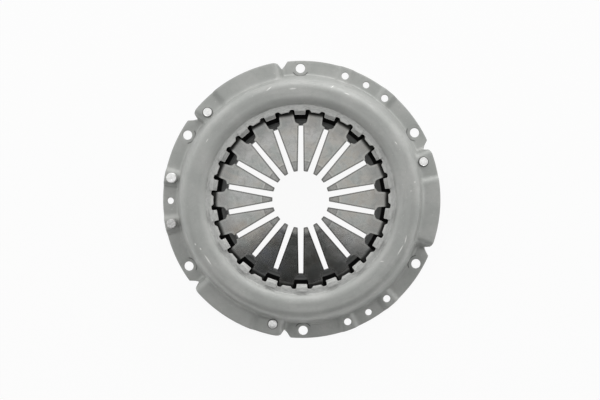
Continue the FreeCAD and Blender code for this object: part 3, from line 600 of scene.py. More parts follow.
def trimmed_edge(skin, under, top_edge, under_edge):
    """Rows that carry a skin round a trimmed edge, between the same places of both skins."""
    down = (under_edge - top_edge) / SHEET * TRIM_EDGE
    share = math.sqrt(0.5)
    return [
        skin + (top_edge - skin) * share + down * (1 - share),
        top_edge + down,
        under_edge - down,
        under + (under_edge - under) * share - down * (1 - share),
    ]


def cover_skin():
    """Closed skin of the pressing: columns round the axis, rows from the lip over the dome to the rim."""
    third = column_angles()
    angle = np.concatenate([third + math.radians(SEGMENT_PITCH * k) for k in range(SEGMENTS)])
    height = form_height(angle)
    edge = rim_radius(lobe_turn(angle))
    shoulder = (SHOULDER_CENTRE[0], CREST_HEIGHT)
    corners = [(LIP_RADIUS, RIDGE[1]), RIDGE, VALLEY, (CREST_INNER, CREST_HEIGHT), shoulder]
    rounds = {1: RIDGE_ROUND, 2: VALLEY_ROUND, 3: CREST_ROUND}
    section = rounded_path(corners, rounds, SECTION_STEP)[:-1]
    section = np.insert(section, 1, (LIP_RADIUS + TRIM_EDGE, RIDGE[1]), axis=0)
    normals = path_normals(section)

    def spin(radius, z):
        return np.stack([np.cos(angle) * radius, np.sin(angle) * radius, np.full_like(angle, z)], axis=-1)

    inner_top = [spin(r, z) for r, z in section]
    inner_under = [spin(*(place - normal * SHEET)) for place, normal in zip(section, normals)]
    start = np.stack([spin(r, z) for r, z in outer_rows(height, edge)])
    top = settle(start, 0.0)
    under = settle(top - unit(form_gradient(top)) * SHEET, -SHEET)
    rim = trimmed_edge(top[-2], under[-2], top[-1], under[-1])
    lip = trimmed_edge(inner_top[1], inner_under[1], inner_top[0], inner_under[0])
    rows = inner_top[1:] + list(top[:-1]) + rim + list(under[:-1][::-1]) + inner_under[:0:-1] + lip[::-1]
    points = np.concatenate(rows)
    rings = np.arange(len(points)).reshape(len(rows), -1).tolist()
    return points, tube(rings + rings[:1])


def tab_form():
    """One retaining tab along +X, from the lip down through a window and out under the wire."""
    chain = [
        (TAB_ROOT, RIDGE[1] - TAB_DROP),
        (TAB_TOP, RIDGE[1] - TAB_DROP),
        (TAB_FOOT, TAB_FOLD_HEIGHT),
        (TAB_FOLD_END, TAB_FOLD_HEIGHT),
    ]
    face = rounded_path(chain, {1: TAB_BEND, 2: TAB_FOLD}, SECTION_STEP)
    middle = face + path_normals(face) * SHEET / 2
    return sweep(middle, [TAB_WIDTH / 2] * len(middle), SHEET, TAB_EDGE)


def relief_form(side):
    """Shallow notch beside a tab along +X, its floor rounded and its mouth flared over the lip."""
    near = TAB_WIDTH / 2
    mouth = math.sqrt(LIP_RADIUS**2 - RELIEF_MOUTH**2)
    corners = [
        (RELIEF_START, near - RELIEF_FLARE),
        (LIP_RADIUS, near),
        (RELIEF_RADIUS, RELIEF_FLOOR[0]),
        (RELIEF_RADIUS, RELIEF_FLOOR[1]),
        (mouth + 0.5, RELIEF_MOUTH - RELIEF_FLARE),
        (mouth - 1.0, RELIEF_MOUTH + RELIEF_FLARE),
        (RELIEF_START, RELIEF_MOUTH + RELIEF_FLARE),
    ]
    rounds = dict.fromkeys((2, 3, 4), RELIEF_ROUND)
    outline = [(x, side * y) for x, y in rounded_path(corners, rounds, 0.4)]
    return prism(outline, TAB_FOLD_HEIGHT + SHEET, CREST_HEIGHT + SHEET)


def hole_form(radius, low, high, spot=None):
    """Hole with rolled edges, and a flat above it where a bolt head sits."""
    profile = [(0.0, low - SHEET), (radius + HOLE_EDGE, low - SHEET)]
    for level, side in ((low, 1), (high, -1)):
        for turn in (0, 30, 60, 90)[::side]:
            up, out = polar(HOLE_EDGE, turn)
            profile.append((radius + HOLE_EDGE - out, level + side * (HOLE_EDGE - up)))
    reach = radius + HOLE_EDGE
    top = high + SHEET
    if spot:
        profile.append((spot, high))
        reach = spot
        top = high + 2 * spot
    profile += [(reach, top), (0.0, top)]
    return lathe(profile, 48)


def cover_cuts():
    """Every notch and hole of the cover."""
    cuts = []
    for k in range(TABS):
        for side in (-1, 1):
            cuts.append(turned(relief_form(side), TAB_FIRST + TAB_PITCH * k))
    bolt = hole_form(BOLT_HOLE, 0.0, SHEET - SPOT_DEPTH, SPOT_FACE)
    dowel = hole_form(DOWEL_HOLE, 0.0, SHEET)
    rivet = hole_form(RIVET_HOLE, RIVET_PAD_TOP - SHEET, RIVET_PAD_TOP)
    balance = hole_form(BALANCE_HOLE, BALANCE_TOP - SHEET, BALANCE_TOP)
    holes = [(bolt, BOLT_CIRCLE, BOLT_FIRST + BOLT_PITCH * k) for k in range(BOLTS)]
    for start in np.arange(SEGMENTS) * SEGMENT_PITCH:
        holes.append((dowel, DOWEL_CIRCLE, DOWEL_FIRST + start))
        holes.append((rivet, STRAP_CIRCLE, COVER_RIVET_ANGLE + start))
        for side in (-BALANCE_ANGLE, BALANCE_ANGLE):
            holes.append((balance, BALANCE_CIRCLE, DOWEL_FIRST + start + side))
    cuts += [turned(form, 0, polar(radius, angle)) for form, radius, angle in holes]
    return merged(cuts)


def build_cover(material):
    cover = make_object("cover_skin", *cover_skin())
    carve(cover, cover_cuts(), "DIFFERENCE")
    tabs = [turned(tab_form(), TAB_FIRST + TAB_PITCH * k) for k in range(TABS)]
    carve(cover, merged(tabs), "UNION")
    smooth(cover)
    finish_piece(cover, material, "cover", "cover_pressing")


# Diaphragm spring

def spring_height(radius):
    """Middle of the spring's sheet, flatter inside the bend."""
    cone = SPRING_HEIGHT + (FULCRUM_RADIUS - radius) * math.tan(math.radians(CONE))
    bend = SPRING_HEIGHT + (FULCRUM_RADIUS - TIP_BEND) * math.tan(math.radians(CONE))
    tip = bend + (TIP_BEND - radius) * math.tan(math.radians(TIP_SLOPE))
    return -np.logaddexp(-cone * BEND_SHARPNESS, -tip * BEND_SHARPNESS) / BEND_SHARPNESS


def finger_edge():
    """One long edge of a finger from tip to rim, as distance along the slot and half the slot's width."""
    splay = math.atan2(WINDOW_HALF_END - WINDOW_HALF_START, WINDOW_END - WINDOW_START)
    reach = WINDOW_ROUND * math.tan((math.pi / 2 - splay) / 2)
    centre = (WINDOW_START + WINDOW_ROUND, WINDOW_HALF_START - reach)
    first = math.asin((SLOT_ROOT - centre[1]) / WINDOW_ROUND)
    edge = [(TIP_RADIUS, SLOT_TIP)]
    edge += run(edge[-1], (WINDOW_START, SLOT_ROOT), 19)
    for share in shares(8):
        swing = first + (math.pi / 2 - splay - first) * share
        edge.append((centre[0] - WINDOW_ROUND * math.cos(swing), centre[1] + WINDOW_ROUND * math.sin(swing)))
    edge += run(edge[-1], (WINDOW_END, WINDOW_HALF_END), 6)
    edge += run((WINDOW_END, WINDOW_HALF_END), (WINDOW_END, SLIT_HALF), 6)
    edge += run((WINDOW_END, SLIT_HALF), (SPRING_RADIUS, SLIT_HALF), 8)
    return edge


def finger_form():
    """One finger along +X with its share of the outer ring, all edges rounded."""
    c, s = polar(1.0, FINGER_PITCH / 2)
    sides = [(along * c + gap * s, along * s - gap * c) for along, gap in finger_edge()]
    across = np.linspace(-1, 1, 9)
    rows = []
    middle = 0.0
    for x, y in sides:
        middle = max(math.hypot(x, y), middle + FINGER_STEP)
        rows.append([(x + (middle - x) * (1 - u * u), y * u) for u in across])
    grid = np.array(rows)
    count, width = grid.shape[:2]
    loop = [(0, j) for j in range(width)]
    loop += [(i, width - 1) for i in range(1, count)]
    loop += [(count - 1, j) for j in range(width - 2, -1, -1)]
    loop += [(i, 0) for i in range(count - 2, 0, -1)]
    outline = np.array([grid[i, j] for i, j in loop])
    inward = left_of(np.roll(outline, -1, axis=0) - np.roll(outline, 1, axis=0))
    for (i, j), shift in zip(loop, inward):
        grid[i, j] += shift * FINGER_EDGE
    share = (across[1:-1] + 1) / 2
    grid[1:-1, 1:-1, 1] = grid[1:-1, :1, 1] * (1 - share) + grid[1:-1, -1:, 1] * share
    half = SPRING_SHEET / 2 / math.cos(math.radians(CONE))

    def lift(x, y, up):
        return (x, y, spring_height(math.hypot(x, y)) + up)

    points = [lift(x, y, side * half) for side in (1, -1) for x, y in grid.reshape(-1, 2)]
    faces = []
    total = count * width
    for i in range(count - 1):
        for j in range(width - 1):
            start = i * width + j
            quad = [start, start + 1, start + width + 1, start + width]
            faces.append(quad)
            faces.append([total + k for k in reversed(quad)])
    rings = [[i * width + j for i, j in loop]]
    corner = math.sqrt(0.5)
    steps = ((corner, 1 - corner, 1), (1, 1, 1), (1, 1, -1), (corner, 1 - corner, -1))
    for out, drop, side in steps:
        rings.append(list(range(len(points), len(points) + len(loop))))
        ring = outline + inward * FINGER_EDGE * (1 - out)
        points += [lift(x, y, side * (half - drop * FINGER_EDGE)) for x, y in ring]
    rings.append([total + i * width + j for i, j in loop])
    return points, faces + tube(rings)


def build_fingers(material):
    form = finger_form()
    for k in range(FINGERS):
        body = f"finger_{k + 1:02d}"
        piece = make_object(f"{body}_steel", *turned(form, FINGER_PITCH * k + SPRING_TURN))
        smooth(piece, THIN_SMOOTH)
        finish_piece(piece, material, body, f"diaphragm_{body}")


# Drive straps

def leaf_form(leaf):
    """One leaf along +X from its cover rivet, its ends rounded."""
    high = STRAP_HIGH + LEAF_PITCH * leaf + STRAP_SHEET / 2
    low = STRAP_LOW + LEAF_PITCH * leaf + STRAP_SHEET / 2
    chain = [
        (-STRAP_END, high),
        (STRAP_FLAT, high),
        (STRAP_SPAN - STRAP_FLAT, low),
        (STRAP_SPAN + STRAP_END, low),
    ]
    path = rounded_path(chain, {1: STRAP_BEND, 2: STRAP_BEND}, 0.5)
    ends = STRAP_ROUND * (1 - np.cos(np.linspace(0, 1, 10) * math.pi / 2))
    first = [(-STRAP_END + d, high) for d in ends]
    last = [(STRAP_SPAN + STRAP_END - d, low) for d in ends[::-1]]
    body = [tuple(p) for p in path if -STRAP_END + STRAP_ROUND < p[0] < STRAP_SPAN + STRAP_END - STRAP_ROUND]
    path = np.array(first + body + last)
    inset = np.minimum(path[:, 0] + STRAP_END, STRAP_SPAN + STRAP_END - path[:, 0])
    short = np.clip(STRAP_ROUND - inset, 0.0, STRAP_ROUND)
    halves = STRAP_WIDTH / 2 - STRAP_ROUND + np.sqrt(STRAP_ROUND**2 - short**2)
    return sweep(path, halves, STRAP_SHEET, STRAP_EDGE)


def build_straps(material):
    drill = lathe([(0, 0), (RIVET_HOLE, 0), (RIVET_HOLE, DRILL_TOP), (0, DRILL_TOP)], 32)
    for k in range(SEGMENTS):
        start = np.array(polar(STRAP_CIRCLE, COVER_RIVET_ANGLE + SEGMENT_PITCH * k))
        end = np.array(polar(STRAP_CIRCLE, LUG_ANGLE + SEGMENT_PITCH * k))
        heading = math.degrees(math.atan2(*(end - start)[::-1]))
        holes = merged([turned(drill, 0, place) for place in (start, end)])
        along = unit(end - start)
        near = start + along * STRAP_FLAT
        far = end - along * STRAP_FLAT
        for leaf in range(LEAVES):
            piece = make_object(f"strap_{k + 1}_leaf_{leaf + 1}", *turned(leaf_form(leaf), heading, start))
            carve(piece, holes, "DIFFERENCE")
            smooth(piece, THIN_SMOOTH)
            piece.data.materials.append(material)
            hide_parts(f"drive_strap_{k + 1}_leaf_{leaf + 1}")
            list(near * MM)
            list(far * MM)
            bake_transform(piece)


# Rivets, washers and balance weights

def pin_form(tail, tail_top, shank, head, head_low, head_top, edge, mark):
    """Riveted pin with an upset tail, and a ring pressed into its head by the tool."""
    foot = tail_top - UPSET
    dish = head_top - HEAD_DISH
    corners = [(0.0, foot), (tail, foot), (tail, tail_top), (shank, tail_top)]
    corners += [(shank, head_low), (head, head_low), (head, head_top)]
    corners += [(mark + MARK_OUTSIDE, head_top), (mark, head_top - MARK_DEPTH)]
    corners += [(mark - MARK_INSIDE, dish), (0.0, dish)]
    rounds = {1: 0.5, 2: 0.3, 5: 0.15, 6: edge}
    return lathe(rounded_path(corners, rounds, 0.35), 56)


def strap_pin(tail_top, seat):
    """Rivet of a strap, its head on a seat."""
    return pin_form(PIN_TAIL, tail_top, SHANK, PIN_HEAD, seat, seat + PIN_HEIGHT, PIN_EDGE, PIN_MARK)


def washer_form(seat):
    """Flat washer under a rivet's head."""
    low = seat - WASHER_SHEET
    corners = [(RIVET_HOLE, low), (WASHER_RADIUS, low), (WASHER_RADIUS, seat), (RIVET_HOLE, seat)]
    corners.append((RIVET_HOLE, seat - WASHER_SHEET / 2))
    return lathe(rounded_path(corners, {1: 0.2, 2: 0.25}, 0.3)[:-1], 56, closed=True)


def build_pins(bright, dull):
    pack = LEAVES * LEAF_PITCH
    seat = STRAP_LOW + pack + WASHER_SHEET
    cover_pin = strap_pin(RIVET_PAD_TOP - SHEET - pack, RIVET_PAD_TOP)
    kinds = [
        ("cover_rivet", cover_pin, COVER_RIVET_ANGLE, "cover", "cover_strap_rivet"),
        ("lug_rivet", strap_pin(LUG_TAIL_TOP, seat), LUG_ANGLE, "pressure_plate", "lug_strap_rivet"),
        ("lug_rivet_washer", washer_form(seat), LUG_ANGLE, "pressure_plate", "lug_washer"),
    ]
    for k in range(SEGMENTS):
        for name, form, angle, body, node in kinds:
            place = polar(STRAP_CIRCLE, angle + SEGMENT_PITCH * k)
            pin = make_object(f"{name}_{k + 1}", *turned(form, 0, place))
            finish_piece(smooth(pin), bright, body, f"{node}_{k + 1}")
    tail_top = BALANCE_TOP - SHEET
    shank = BALANCE_HOLE - WEIGHT_GAP
    weights = [("light", -BALANCE_ANGLE, LIGHT_HEAD, bright), ("heavy", BALANCE_ANGLE, HEAVY_HEAD, dull)]
    for name, side, (head, top), material in weights:
        form = pin_form(WEIGHT_TAIL, tail_top, shank, head, BALANCE_TOP, top, WEIGHT_EDGE, WEIGHT_MARK)
        place = polar(BALANCE_CIRCLE, WEIGHT_ANGLE + side)
        pin = make_object(f"balance_weight_{name}", *turned(form, 0, place))
        finish_piece(smooth(pin), material, "cover", f"balance_rivet_{name}")


# Materials

def feed(node, inputs):
    """Sets a node's inputs to plain values or links them to fields."""
    for name, value in inputs.items():
        if isinstance(value, Field):
            node.id_data.links.new(value.socket, node.inputs[name])
        else:
            node.inputs[name].default_value = value


def add(tree, kind, inputs=None, output=0, **settings):
    """New node with its settings and inputs, as the field that it gives."""
    node = tree.nodes.new(kind)
    for name, value in settings.items():
        setattr(node, name, value)
    feed(node, inputs or {})
    return Field(node.outputs[output])


class Field:
    """Value, vector or colour that varies over a surface: one output of a node."""

    def __init__(self, socket):
        self.socket = socket
        self.tree = socket.id_data

    def calc(self, operation, other=0.0):
        return add(self.tree, "ShaderNodeMath", {0: self, 1: other}, operation=operation)

    def __add__(self, other):
        return self.calc("ADD", other)

    def __sub__(self, other):
        return self.calc("SUBTRACT", other)

    def __rsub__(self, other):
        return add(self.tree, "ShaderNodeMath", {0: other, 1: self}, operation="SUBTRACT")

    def __mul__(self, other):
        return self.calc("MULTIPLY", other)

    def __or__(self, other):
        """Larger of two values."""
        return self.calc("MAXIMUM", other)

    def ramp(self, low, high, out_low=0.0, out_high=1.0):
        """Smooth step between two limits."""
        inputs = {0: self, 1: low, 2: high, 3: out_low, 4: out_high}
        return add(self.tree, "ShaderNodeMapRange", inputs, interpolation_type="SMOOTHSTEP")

    def band(self, middle, half, soft):
        """One inside a band of the value, fading to nothing over a soft margin."""
        return (self - middle).calc("ABSOLUTE").ramp(half + soft, half)

    def paint(self, under, over):
        """Colour laid over another, the value being its share."""
        under, over = [c if isinstance(c, Field) else (*c, 1.0) for c in (under, over)]
        return add(self.tree, "ShaderNodeMix", {0: self, 6: under, 7: over}, 2, data_type="RGBA")


def coats(colour, *layers):
    """Colour under several coats, each with its share and its own colour."""
    for share, over in layers:
        colour = share.paint(colour, over)
    return colour


class Finish:
    """Principled material, with the places on it in millimetres and about the clutch axis."""

    def __init__(self, name, metallic):
        self.material = bpy.data.materials.new(name)
        self.material.use_nodes = True
        self.tree = self.material.node_tree
        self.shader = self.tree.nodes["Principled BSDF"]
        self.shader.inputs["Metallic"].default_value = metallic
        place = add(self.tree, "ShaderNodeTexCoord", output="Object")
        self.place = add(self.tree, "ShaderNodeVectorMath", {0: place, 3: 1 / MM}, operation="SCALE")
        x, y, self.height = [add(self.tree, "ShaderNodeSeparateXYZ", {0: self.place}, axis) for axis in "XYZ"]
        self.radius = self.length(x, y)
        self.angle = y.calc("ARCTAN2", x).calc("DEGREES")

    def point(self, x, y, z=0.0):
        return add(self.tree, "ShaderNodeCombineXYZ", {0: x, 1: y, 2: z})

    def length(self, x, y):
        """Distance from a point given by its two lengths."""
        return add(self.tree, "ShaderNodeVectorMath", {0: self.point(x, y)}, "Value", operation="LENGTH")

    def streaks(self, scale, stretch, height=0.0):
        """Noise drawn out round the axis."""
        place = self.point(self.radius, self.angle * stretch, height)
        return self.noise(scale, 4.0, 0.6, place=place)

    def noise(self, scale, detail=3.0, roughness=0.55, distortion=0.0, place=None):
        """Noise with a number of cells per millimetre."""
        inputs = {"Scale": scale, "Detail": detail, "Roughness": roughness, "Distortion": distortion}
        return add(self.tree, "ShaderNodeTexNoise", {"Vector": place or self.place, **inputs})

    def fold(self, middle, half):
        """Lengths along and across the nearest of the rays that repeat every two halves of an angle."""
        turn = (self.angle - middle).calc("PINGPONG", half).calc("RADIANS")
        return self.radius * turn.calc("COSINE"), self.radius * turn.calc("SINE")

    def spot(self, pixel, length, width, turn):
        """Soft mark on the cover's crest at a pixel of the photograph, turned about the vertical."""
        inputs = {
            "Vector": self.place,
            "Location": on_cover(pixel),
            "Rotation": (0, 0, math.radians(turn)),
            "Scale": (length, width, SCRATCH_DEPTH),
        }
        local = add(self.tree, "ShaderNodeMapping", inputs, vector_type="TEXTURE")
        return add(self.tree, "ShaderNodeTexGradient", {0: local}, "Fac", gradient_type="SPHERICAL")

    def finish(self, colour, roughness, layers):
        """Material with its colour, roughness and a relief of values and their depths in millimetres."""
        parts = [value * (depth * MM) for value, depth in layers]
        relief = {"Height": sum(parts[1:], parts[0]), "Distance": 1.0, "Strength": 1.0}
        normal = add(self.tree, "ShaderNodeBump", relief)
        feed(self.shader, {"Base Color": colour, "Roughness": roughness, "Normal": normal})
        return self.material


def on_cover(pixel):
    """Place on the cover's crest that a pixel of the photograph shows."""
    scale = (CAMERA_AT[2] - CREST_HEIGHT) / FOCAL_PX
    base = (CAMERA_AT[2] - AXIS_POINT[2]) / FOCAL_PX
    x = CAMERA_AT[0] + (pixel[0] - AXIS_PX[0] - CAMERA_AT[0] / base) * scale
    y = CAMERA_AT[1] + (AXIS_PX[1] - pixel[1]) * scale
    c, s = polar(1.0, CAMERA_ROLL)
    return (x * c - y * s, x * s + y * c, CREST_HEIGHT - 1)


def painted_rim_highlights(steel):
    """Painted highlights along the edges of lip, tabs and notches."""
    along, across = steel.fold(TAB_FIRST, TAB_PITCH / 2)
    middle = (RELIEF_FLOOR[0] + RELIEF_FLOOR[1]) / 2
    half = (RELIEF_FLOOR[1] - RELIEF_FLOOR[0]) / 2 - RELIEF_ROUND
    side = ((across - middle).calc("ABSOLUTE") - half) | 0.0
    out = (along - (RELIEF_RADIUS - RELIEF_ROUND)) | 0.0
    notch = (steel.length(out, side) - RELIEF_ROUND).ramp(0.8, 0.4)
    lip = steel.radius.ramp(LIP_RADIUS + 0.8, LIP_RADIUS + 0.4)
    lip = lip * across.ramp(RELIEF_MOUTH - 0.5, RELIEF_MOUTH)
    tab = along.ramp(TAB_TOP + 1.4, TAB_TOP + 0.9) * 1.6
    flank = across.ramp(TAB_WIDTH / 2 - 1.1, TAB_WIDTH / 2 - 0.6, 0.0, 0.7)
    return notch | lip | tab | flank * along.ramp(RELIEF_RADIUS, LIP_RADIUS)


def painted_crevice_shade(steel):
    """Painted shade round the cover's rivet heads, and where the bolts' flats bite into the wall."""
    along, across = steel.fold(COVER_RIVET_ANGLE, SEGMENT_PITCH / 2)
    seat = steel.length(along - STRAP_CIRCLE, across).band(PIN_HEAD + 0.35, 0.4, 0.5)
    along, across = steel.fold(BOLT_FIRST, BOLT_PITCH / 2)
    bite = steel.length(along - BOLT_CIRCLE, across).band(SPOT_FACE, 0.3, 0.5)
    return seat | bite * steel.radius.ramp(BOLT_CIRCLE - 3, BOLT_CIRCLE - 5)


def sheet_colour(steel, mottle, grain):
    """Colour of the pressed sheet: mottled, lighter over the bead, streaked on its lip and wall."""
    radius = steel.radius
    cloud = steel.noise(0.035, 5.0)
    lighter_bead = radius.ramp(*LIGHTER_BEAD_INSIDE, 0.2, 1.0) * radius.ramp(*LIGHTER_BEAD_OUTSIDE)
    drawn = steel.streaks(1.1, 0.35).ramp(0.44, 0.64, 0.0, 0.5)
    swept = steel.streaks(0.14, 0.3).ramp(0.45, 0.62, 0.0, 0.3)
    return coats(
        cloud.ramp(0.35, 0.65).paint((0.345, 0.355, 0.34), (0.40, 0.405, 0.39)),
        (mottle.ramp(0.45, 0.75, 0.0, 0.35), (0.31, 0.32, 0.305)),
        (grain.ramp(0.5, 0.85, 0.0, 0.3), (0.45, 0.455, 0.44)),
        (lighter_bead * mottle.ramp(0.3, 0.7, 0.75, 1.0), (0.50, 0.505, 0.49)),
        (drawn * radius.ramp(*DRAWN_LIP), (0.27, 0.275, 0.265)),
        (swept * steel.angle.band(0.0, 145.0, 30.0) * radius.ramp(*SWEPT_WALL), (0.28, 0.285, 0.275)),
    )


def dome_marks(steel, grain):
    """Scratches and flecks, broken up by the grain."""
    marks = steel.noise(0.75, 2.0, 0.5).ramp(0.68, 0.76) * 0.45
    for scratch in SCRATCHES:
        marks = marks | steel.spot(*scratch).ramp(0.0, 0.6)
    return marks * grain.ramp(0.25, 0.5)


def cover_material():
    """Phosphated pressed steel: mottled satin grey and scuffed on the dome, with painted highlights at its
    edges and crease lines, and painted shade round its rivet heads, along its creases and in dots.
    """
    steel = Finish("phosphated_steel", 0.22)
    mottle = steel.noise(0.3, 4.0, 0.6)
    grain = steel.noise(1.6, 3.0, 0.7)
    colour = sheet_colour(steel, mottle, grain)
    # Painted highlights on the edges of lip, tabs and notches, on the upper sheet only
    rims = painted_rim_highlights(steel) * steel.height.ramp(TAB_FOLD_HEIGHT + 8, TAB_FOLD_HEIGHT + 12)
    colour = (rims * 0.6).paint(colour, (0.62, 0.62, 0.60))
    # Painted shade, dark, round the rivet heads and where the bolt flats meet the wall
    colour = (painted_crevice_shade(steel) * 0.75).paint(colour, (0.06, 0.06, 0.058))
    # Painted shade along each crease, then a painted highlight line on it
    for crease, middle, half in PAINTED_CREASE_LINES:
        arc = steel.angle.band(middle, half, 4.0)
        colour = (steel.radius.band(crease, 0.6, 0.6) * arc * 0.35).paint(colour, (0.22, 0.225, 0.215))
        colour = (steel.radius.band(crease, 0.08, 0.3) * arc * 0.5).paint(colour, (0.6, 0.6, 0.58))
    # Painted shadow dots where small steps of the pressing cast shade
    for pixel in PAINTED_SHADOW_DOTS:
        shadow_dot = steel.spot(pixel, *SHADOW_DOT_SIZE, 0).ramp(0.1, 0.7, 0.0, 0.6)
        colour = shadow_dot.paint(colour, (0.15, 0.155, 0.145))
    marks = dome_marks(steel, grain)
    colour = marks.paint(colour, (0.68, 0.68, 0.66))
    roughness = mottle.ramp(0.3, 0.75, 0.46, 0.58) - marks * 0.12
    return steel.finish(colour, roughness, [(grain, 0.035), (mottle, 0.05), (marks, -0.05)])


def painted_finger_edge_lines(steel):
    """Painted shade lines along a finger's slots and round its tip, and painted highlight lines beside its
    slots and window.
    """
    along, across = steel.fold(SPRING_TURN + FINGER_PITCH / 2, FINGER_PITCH / 2)
    slot = across - along.ramp(TIP_RADIUS, WINDOW_START, SLOT_TIP, SLOT_ROOT)
    splay = (WINDOW_HALF_END - WINDOW_HALF_START) / (WINDOW_END - WINDOW_START)
    flank = across - ((along - WINDOW_START) * splay + WINDOW_HALF_START)
    window = flank | (WINDOW_START - along)
    inner = along.ramp(WINDOW_START - 1.0, WINDOW_START - 2.5)
    dark = slot.ramp(1.0, 0.5) * inner | steel.radius.ramp(TIP_RADIUS + 1.3, TIP_RADIUS + 0.7)
    light = window.ramp(1.7, 1.1) * along.ramp(WINDOW_START - 1.6, WINDOW_START - 0.8)
    return dark, light | slot.band(1.6, 0.3, 0.5) * inner * 0.5


def spring_material():
    """Shot-peened spring steel with straw, brown and blue temper tints, painted shade at the roots and along
    the edges, and a painted shadow under the lip.
    """
    steel = Finish("tempered_spring_steel", 0.92)
    radius = steel.radius
    cloud = steel.noise(0.07, 4.0, 0.6, 0.5)
    peen = steel.noise(0.9, 3.0, 0.6)
    hue = steel.noise(0.045, 3.0, 0.5, 0.8).ramp(0.35, 0.65)
    blots = steel.noise(0.16, 3.0, 0.6, 0.8)
    patches = steel.noise(0.07, 4.0, 0.6, 0.6).ramp(0.42, 0.66) * 0.75
    worn = steel.noise(0.45, 4.0, 0.7).ramp(0.35, 0.6, 0.45, 1.0)
    dark, light = painted_finger_edge_lines(steel)
    # Painted shadow of the cover's lip on the fingers, near black; it also roughens them
    painted_lip_shadow = (radius + cloud.ramp(0.3, 0.7, -0.4, 0.4)).ramp(LIP_RADIUS - 5.0, LIP_RADIUS - 1.2)
    colour = coats(
        hue.paint((0.35, 0.37, 0.355), (0.405, 0.39, 0.36)),
        (cloud.ramp(0.35, 0.68, 0.0, 0.75), (0.45, 0.45, 0.445)),
        (peen.ramp(0.5, 0.8, 0.0, 0.4), (0.27, 0.27, 0.26)),
        (blots.ramp(0.48, 0.7, 0.0, 0.5), (0.25, 0.255, 0.245)),
        (blots.ramp(0.42, 0.28, 0.0, 0.45), (0.49, 0.49, 0.475)),
        *[(steel.angle.band(middle, half, 14.0) * patches, tint) for middle, half, tint in TINTS],
        (radius.band(*POLISHED_RING, 0.8) * 0.35, (0.52, 0.52, 0.50)),
        (radius.ramp(*BEARING_TRACK) * worn * 0.65, (0.2, 0.2, 0.195)),
        (radius.ramp(*TIP_STAIN) * worn * 0.5, (0.14, 0.14, 0.135)),
        (radius.band(*TRACK_LINE, 0.45) * worn * 0.6, (0.12, 0.12, 0.115)),
        # Painted shade, darker towards the finger roots
        (radius.ramp(*PAINTED_ROOT_SHADE, 0.0, 0.5), (0.22, 0.22, 0.215)),
        # Painted highlights beside the slots and windows, and painted shade along the slots and round the
        # tips
        (light * 0.2, (0.56, 0.56, 0.54)),
        (dark * 0.75, (0.13, 0.13, 0.125)),
        (painted_lip_shadow * 0.95, (0.012, 0.012, 0.011)),
    )
    roughness = cloud.ramp(0.3, 0.7, 0.19, 0.25) + painted_lip_shadow * 0.3
    return steel.finish(colour, roughness, [(peen, 0.03), (steel.noise(3.0, 2.0, 0.6), 0.008)])


def cast_material():
    """Grey iron: sandy as cast, painted black as shadow where it lies under the cover, turned on its faces
    and collar.
    """
    iron = Finish("grey_cast_iron", 0.45)
    iron.shader.inputs["Specular IOR Level"].default_value = 0.25
    radius = iron.radius
    height = iron.height
    sand = iron.noise(1.3, 5.0, 0.7)
    turning = iron.streaks(2.4, 0.002)
    groove = turning.ramp(0.35, 0.65)
    back = height.ramp(FACE_EDGE, FACE_EDGE + 0.8)
    collar = back * radius.ramp(COLLAR_RADIUS + 0.4, COLLAR_RADIUS - 0.4) * sand.ramp(0.3, 0.6, 0.55, 0.9)
    land = height.ramp(*LAND_HEIGHT) * radius.band(LAND_RADIUS, 1.0, 0.6)
    cut = height.ramp(FACE_EDGE, FACE_EDGE - 0.5) | land
    colour = coats(
        iron.noise(0.06, 4.0).ramp(0.3, 0.7).paint((0.13, 0.13, 0.132), (0.18, 0.18, 0.18)),
        (sand.ramp(0.5, 0.8, 0.0, 0.4), (0.24, 0.235, 0.225)),
        (collar, groove.paint((0.16, 0.165, 0.165), (0.36, 0.365, 0.36))),
        # Painted shadow: black where the plate lies under the cover
        (back * radius.band(*PAINTED_SHADOW_RING, 0.8), (0.006, 0.006, 0.006)),
        (cut, groove.paint((0.33, 0.33, 0.325), (0.43, 0.43, 0.42))),
    )
    roughness = sand.ramp(0.3, 0.7, 0.55, 0.68) - cut * 0.26
    return iron.finish(colour, roughness, [(sand * (1.0 - cut), 0.25), (turning * cut, 0.03)])


def rivet_material(name, light, dark, roughness):
    """Plated steel with faint clouds."""
    steel = Finish(name, 0.85)
    cloud = steel.noise(0.5, 4.0, 0.6)
    colour = cloud.ramp(0.35, 0.7).paint(light, dark)
    roughness = cloud.ramp(0.3, 0.7, roughness, roughness + 0.1)
    return steel.finish(colour, roughness, [(steel.noise(5.0, 2.0), 0.01), (cloud, 0.03)])


def strip_material(name, stretch, light, dark):
    """Rolled or drawn steel with fine lines along its length."""
    steel = Finish(name, 0.9)
    drawn = steel.streaks(2.2, stretch, steel.height)
    colour = steel.noise(0.2, 4.0).ramp(0.35, 0.7).paint(light, dark)
    colour = drawn.ramp(0.45, 0.75, 0.0, 0.35).paint(colour, (0.16, 0.16, 0.16))
    return steel.finish(colour, drawn.ramp(0.3, 0.7, 0.28, 0.42), [(drawn, 0.02)])


# Stage, lamps and camera

def plain_material(name, colour, strength):
    """Backdrop: a diffuse surface that looks its own colour to the camera and to reflections."""
    material = bpy.data.materials.new(name)
    material.use_nodes = True
    tree = material.node_tree
    tree.nodes.clear()
    rays = ("Is Camera Ray", "Is Glossy Ray", "Is Transmission Ray")
    camera, glossy, clear = [add(tree, "ShaderNodeLightPath", output=ray) for ray in rays]
    diffuse = add(tree, "ShaderNodeBsdfDiffuse", {"Color": (*colour, 1.0)})
    glow = add(tree, "ShaderNodeEmission", {"Color": (*colour, 1.0), "Strength": 1.0})
    share = (camera | glossy | clear) * strength
    shader = add(tree, "ShaderNodeMixShader", {0: share, 1: diffuse, 2: glow})
    feed(tree.nodes.new("ShaderNodeOutputMaterial"), {0: shader})
    return material


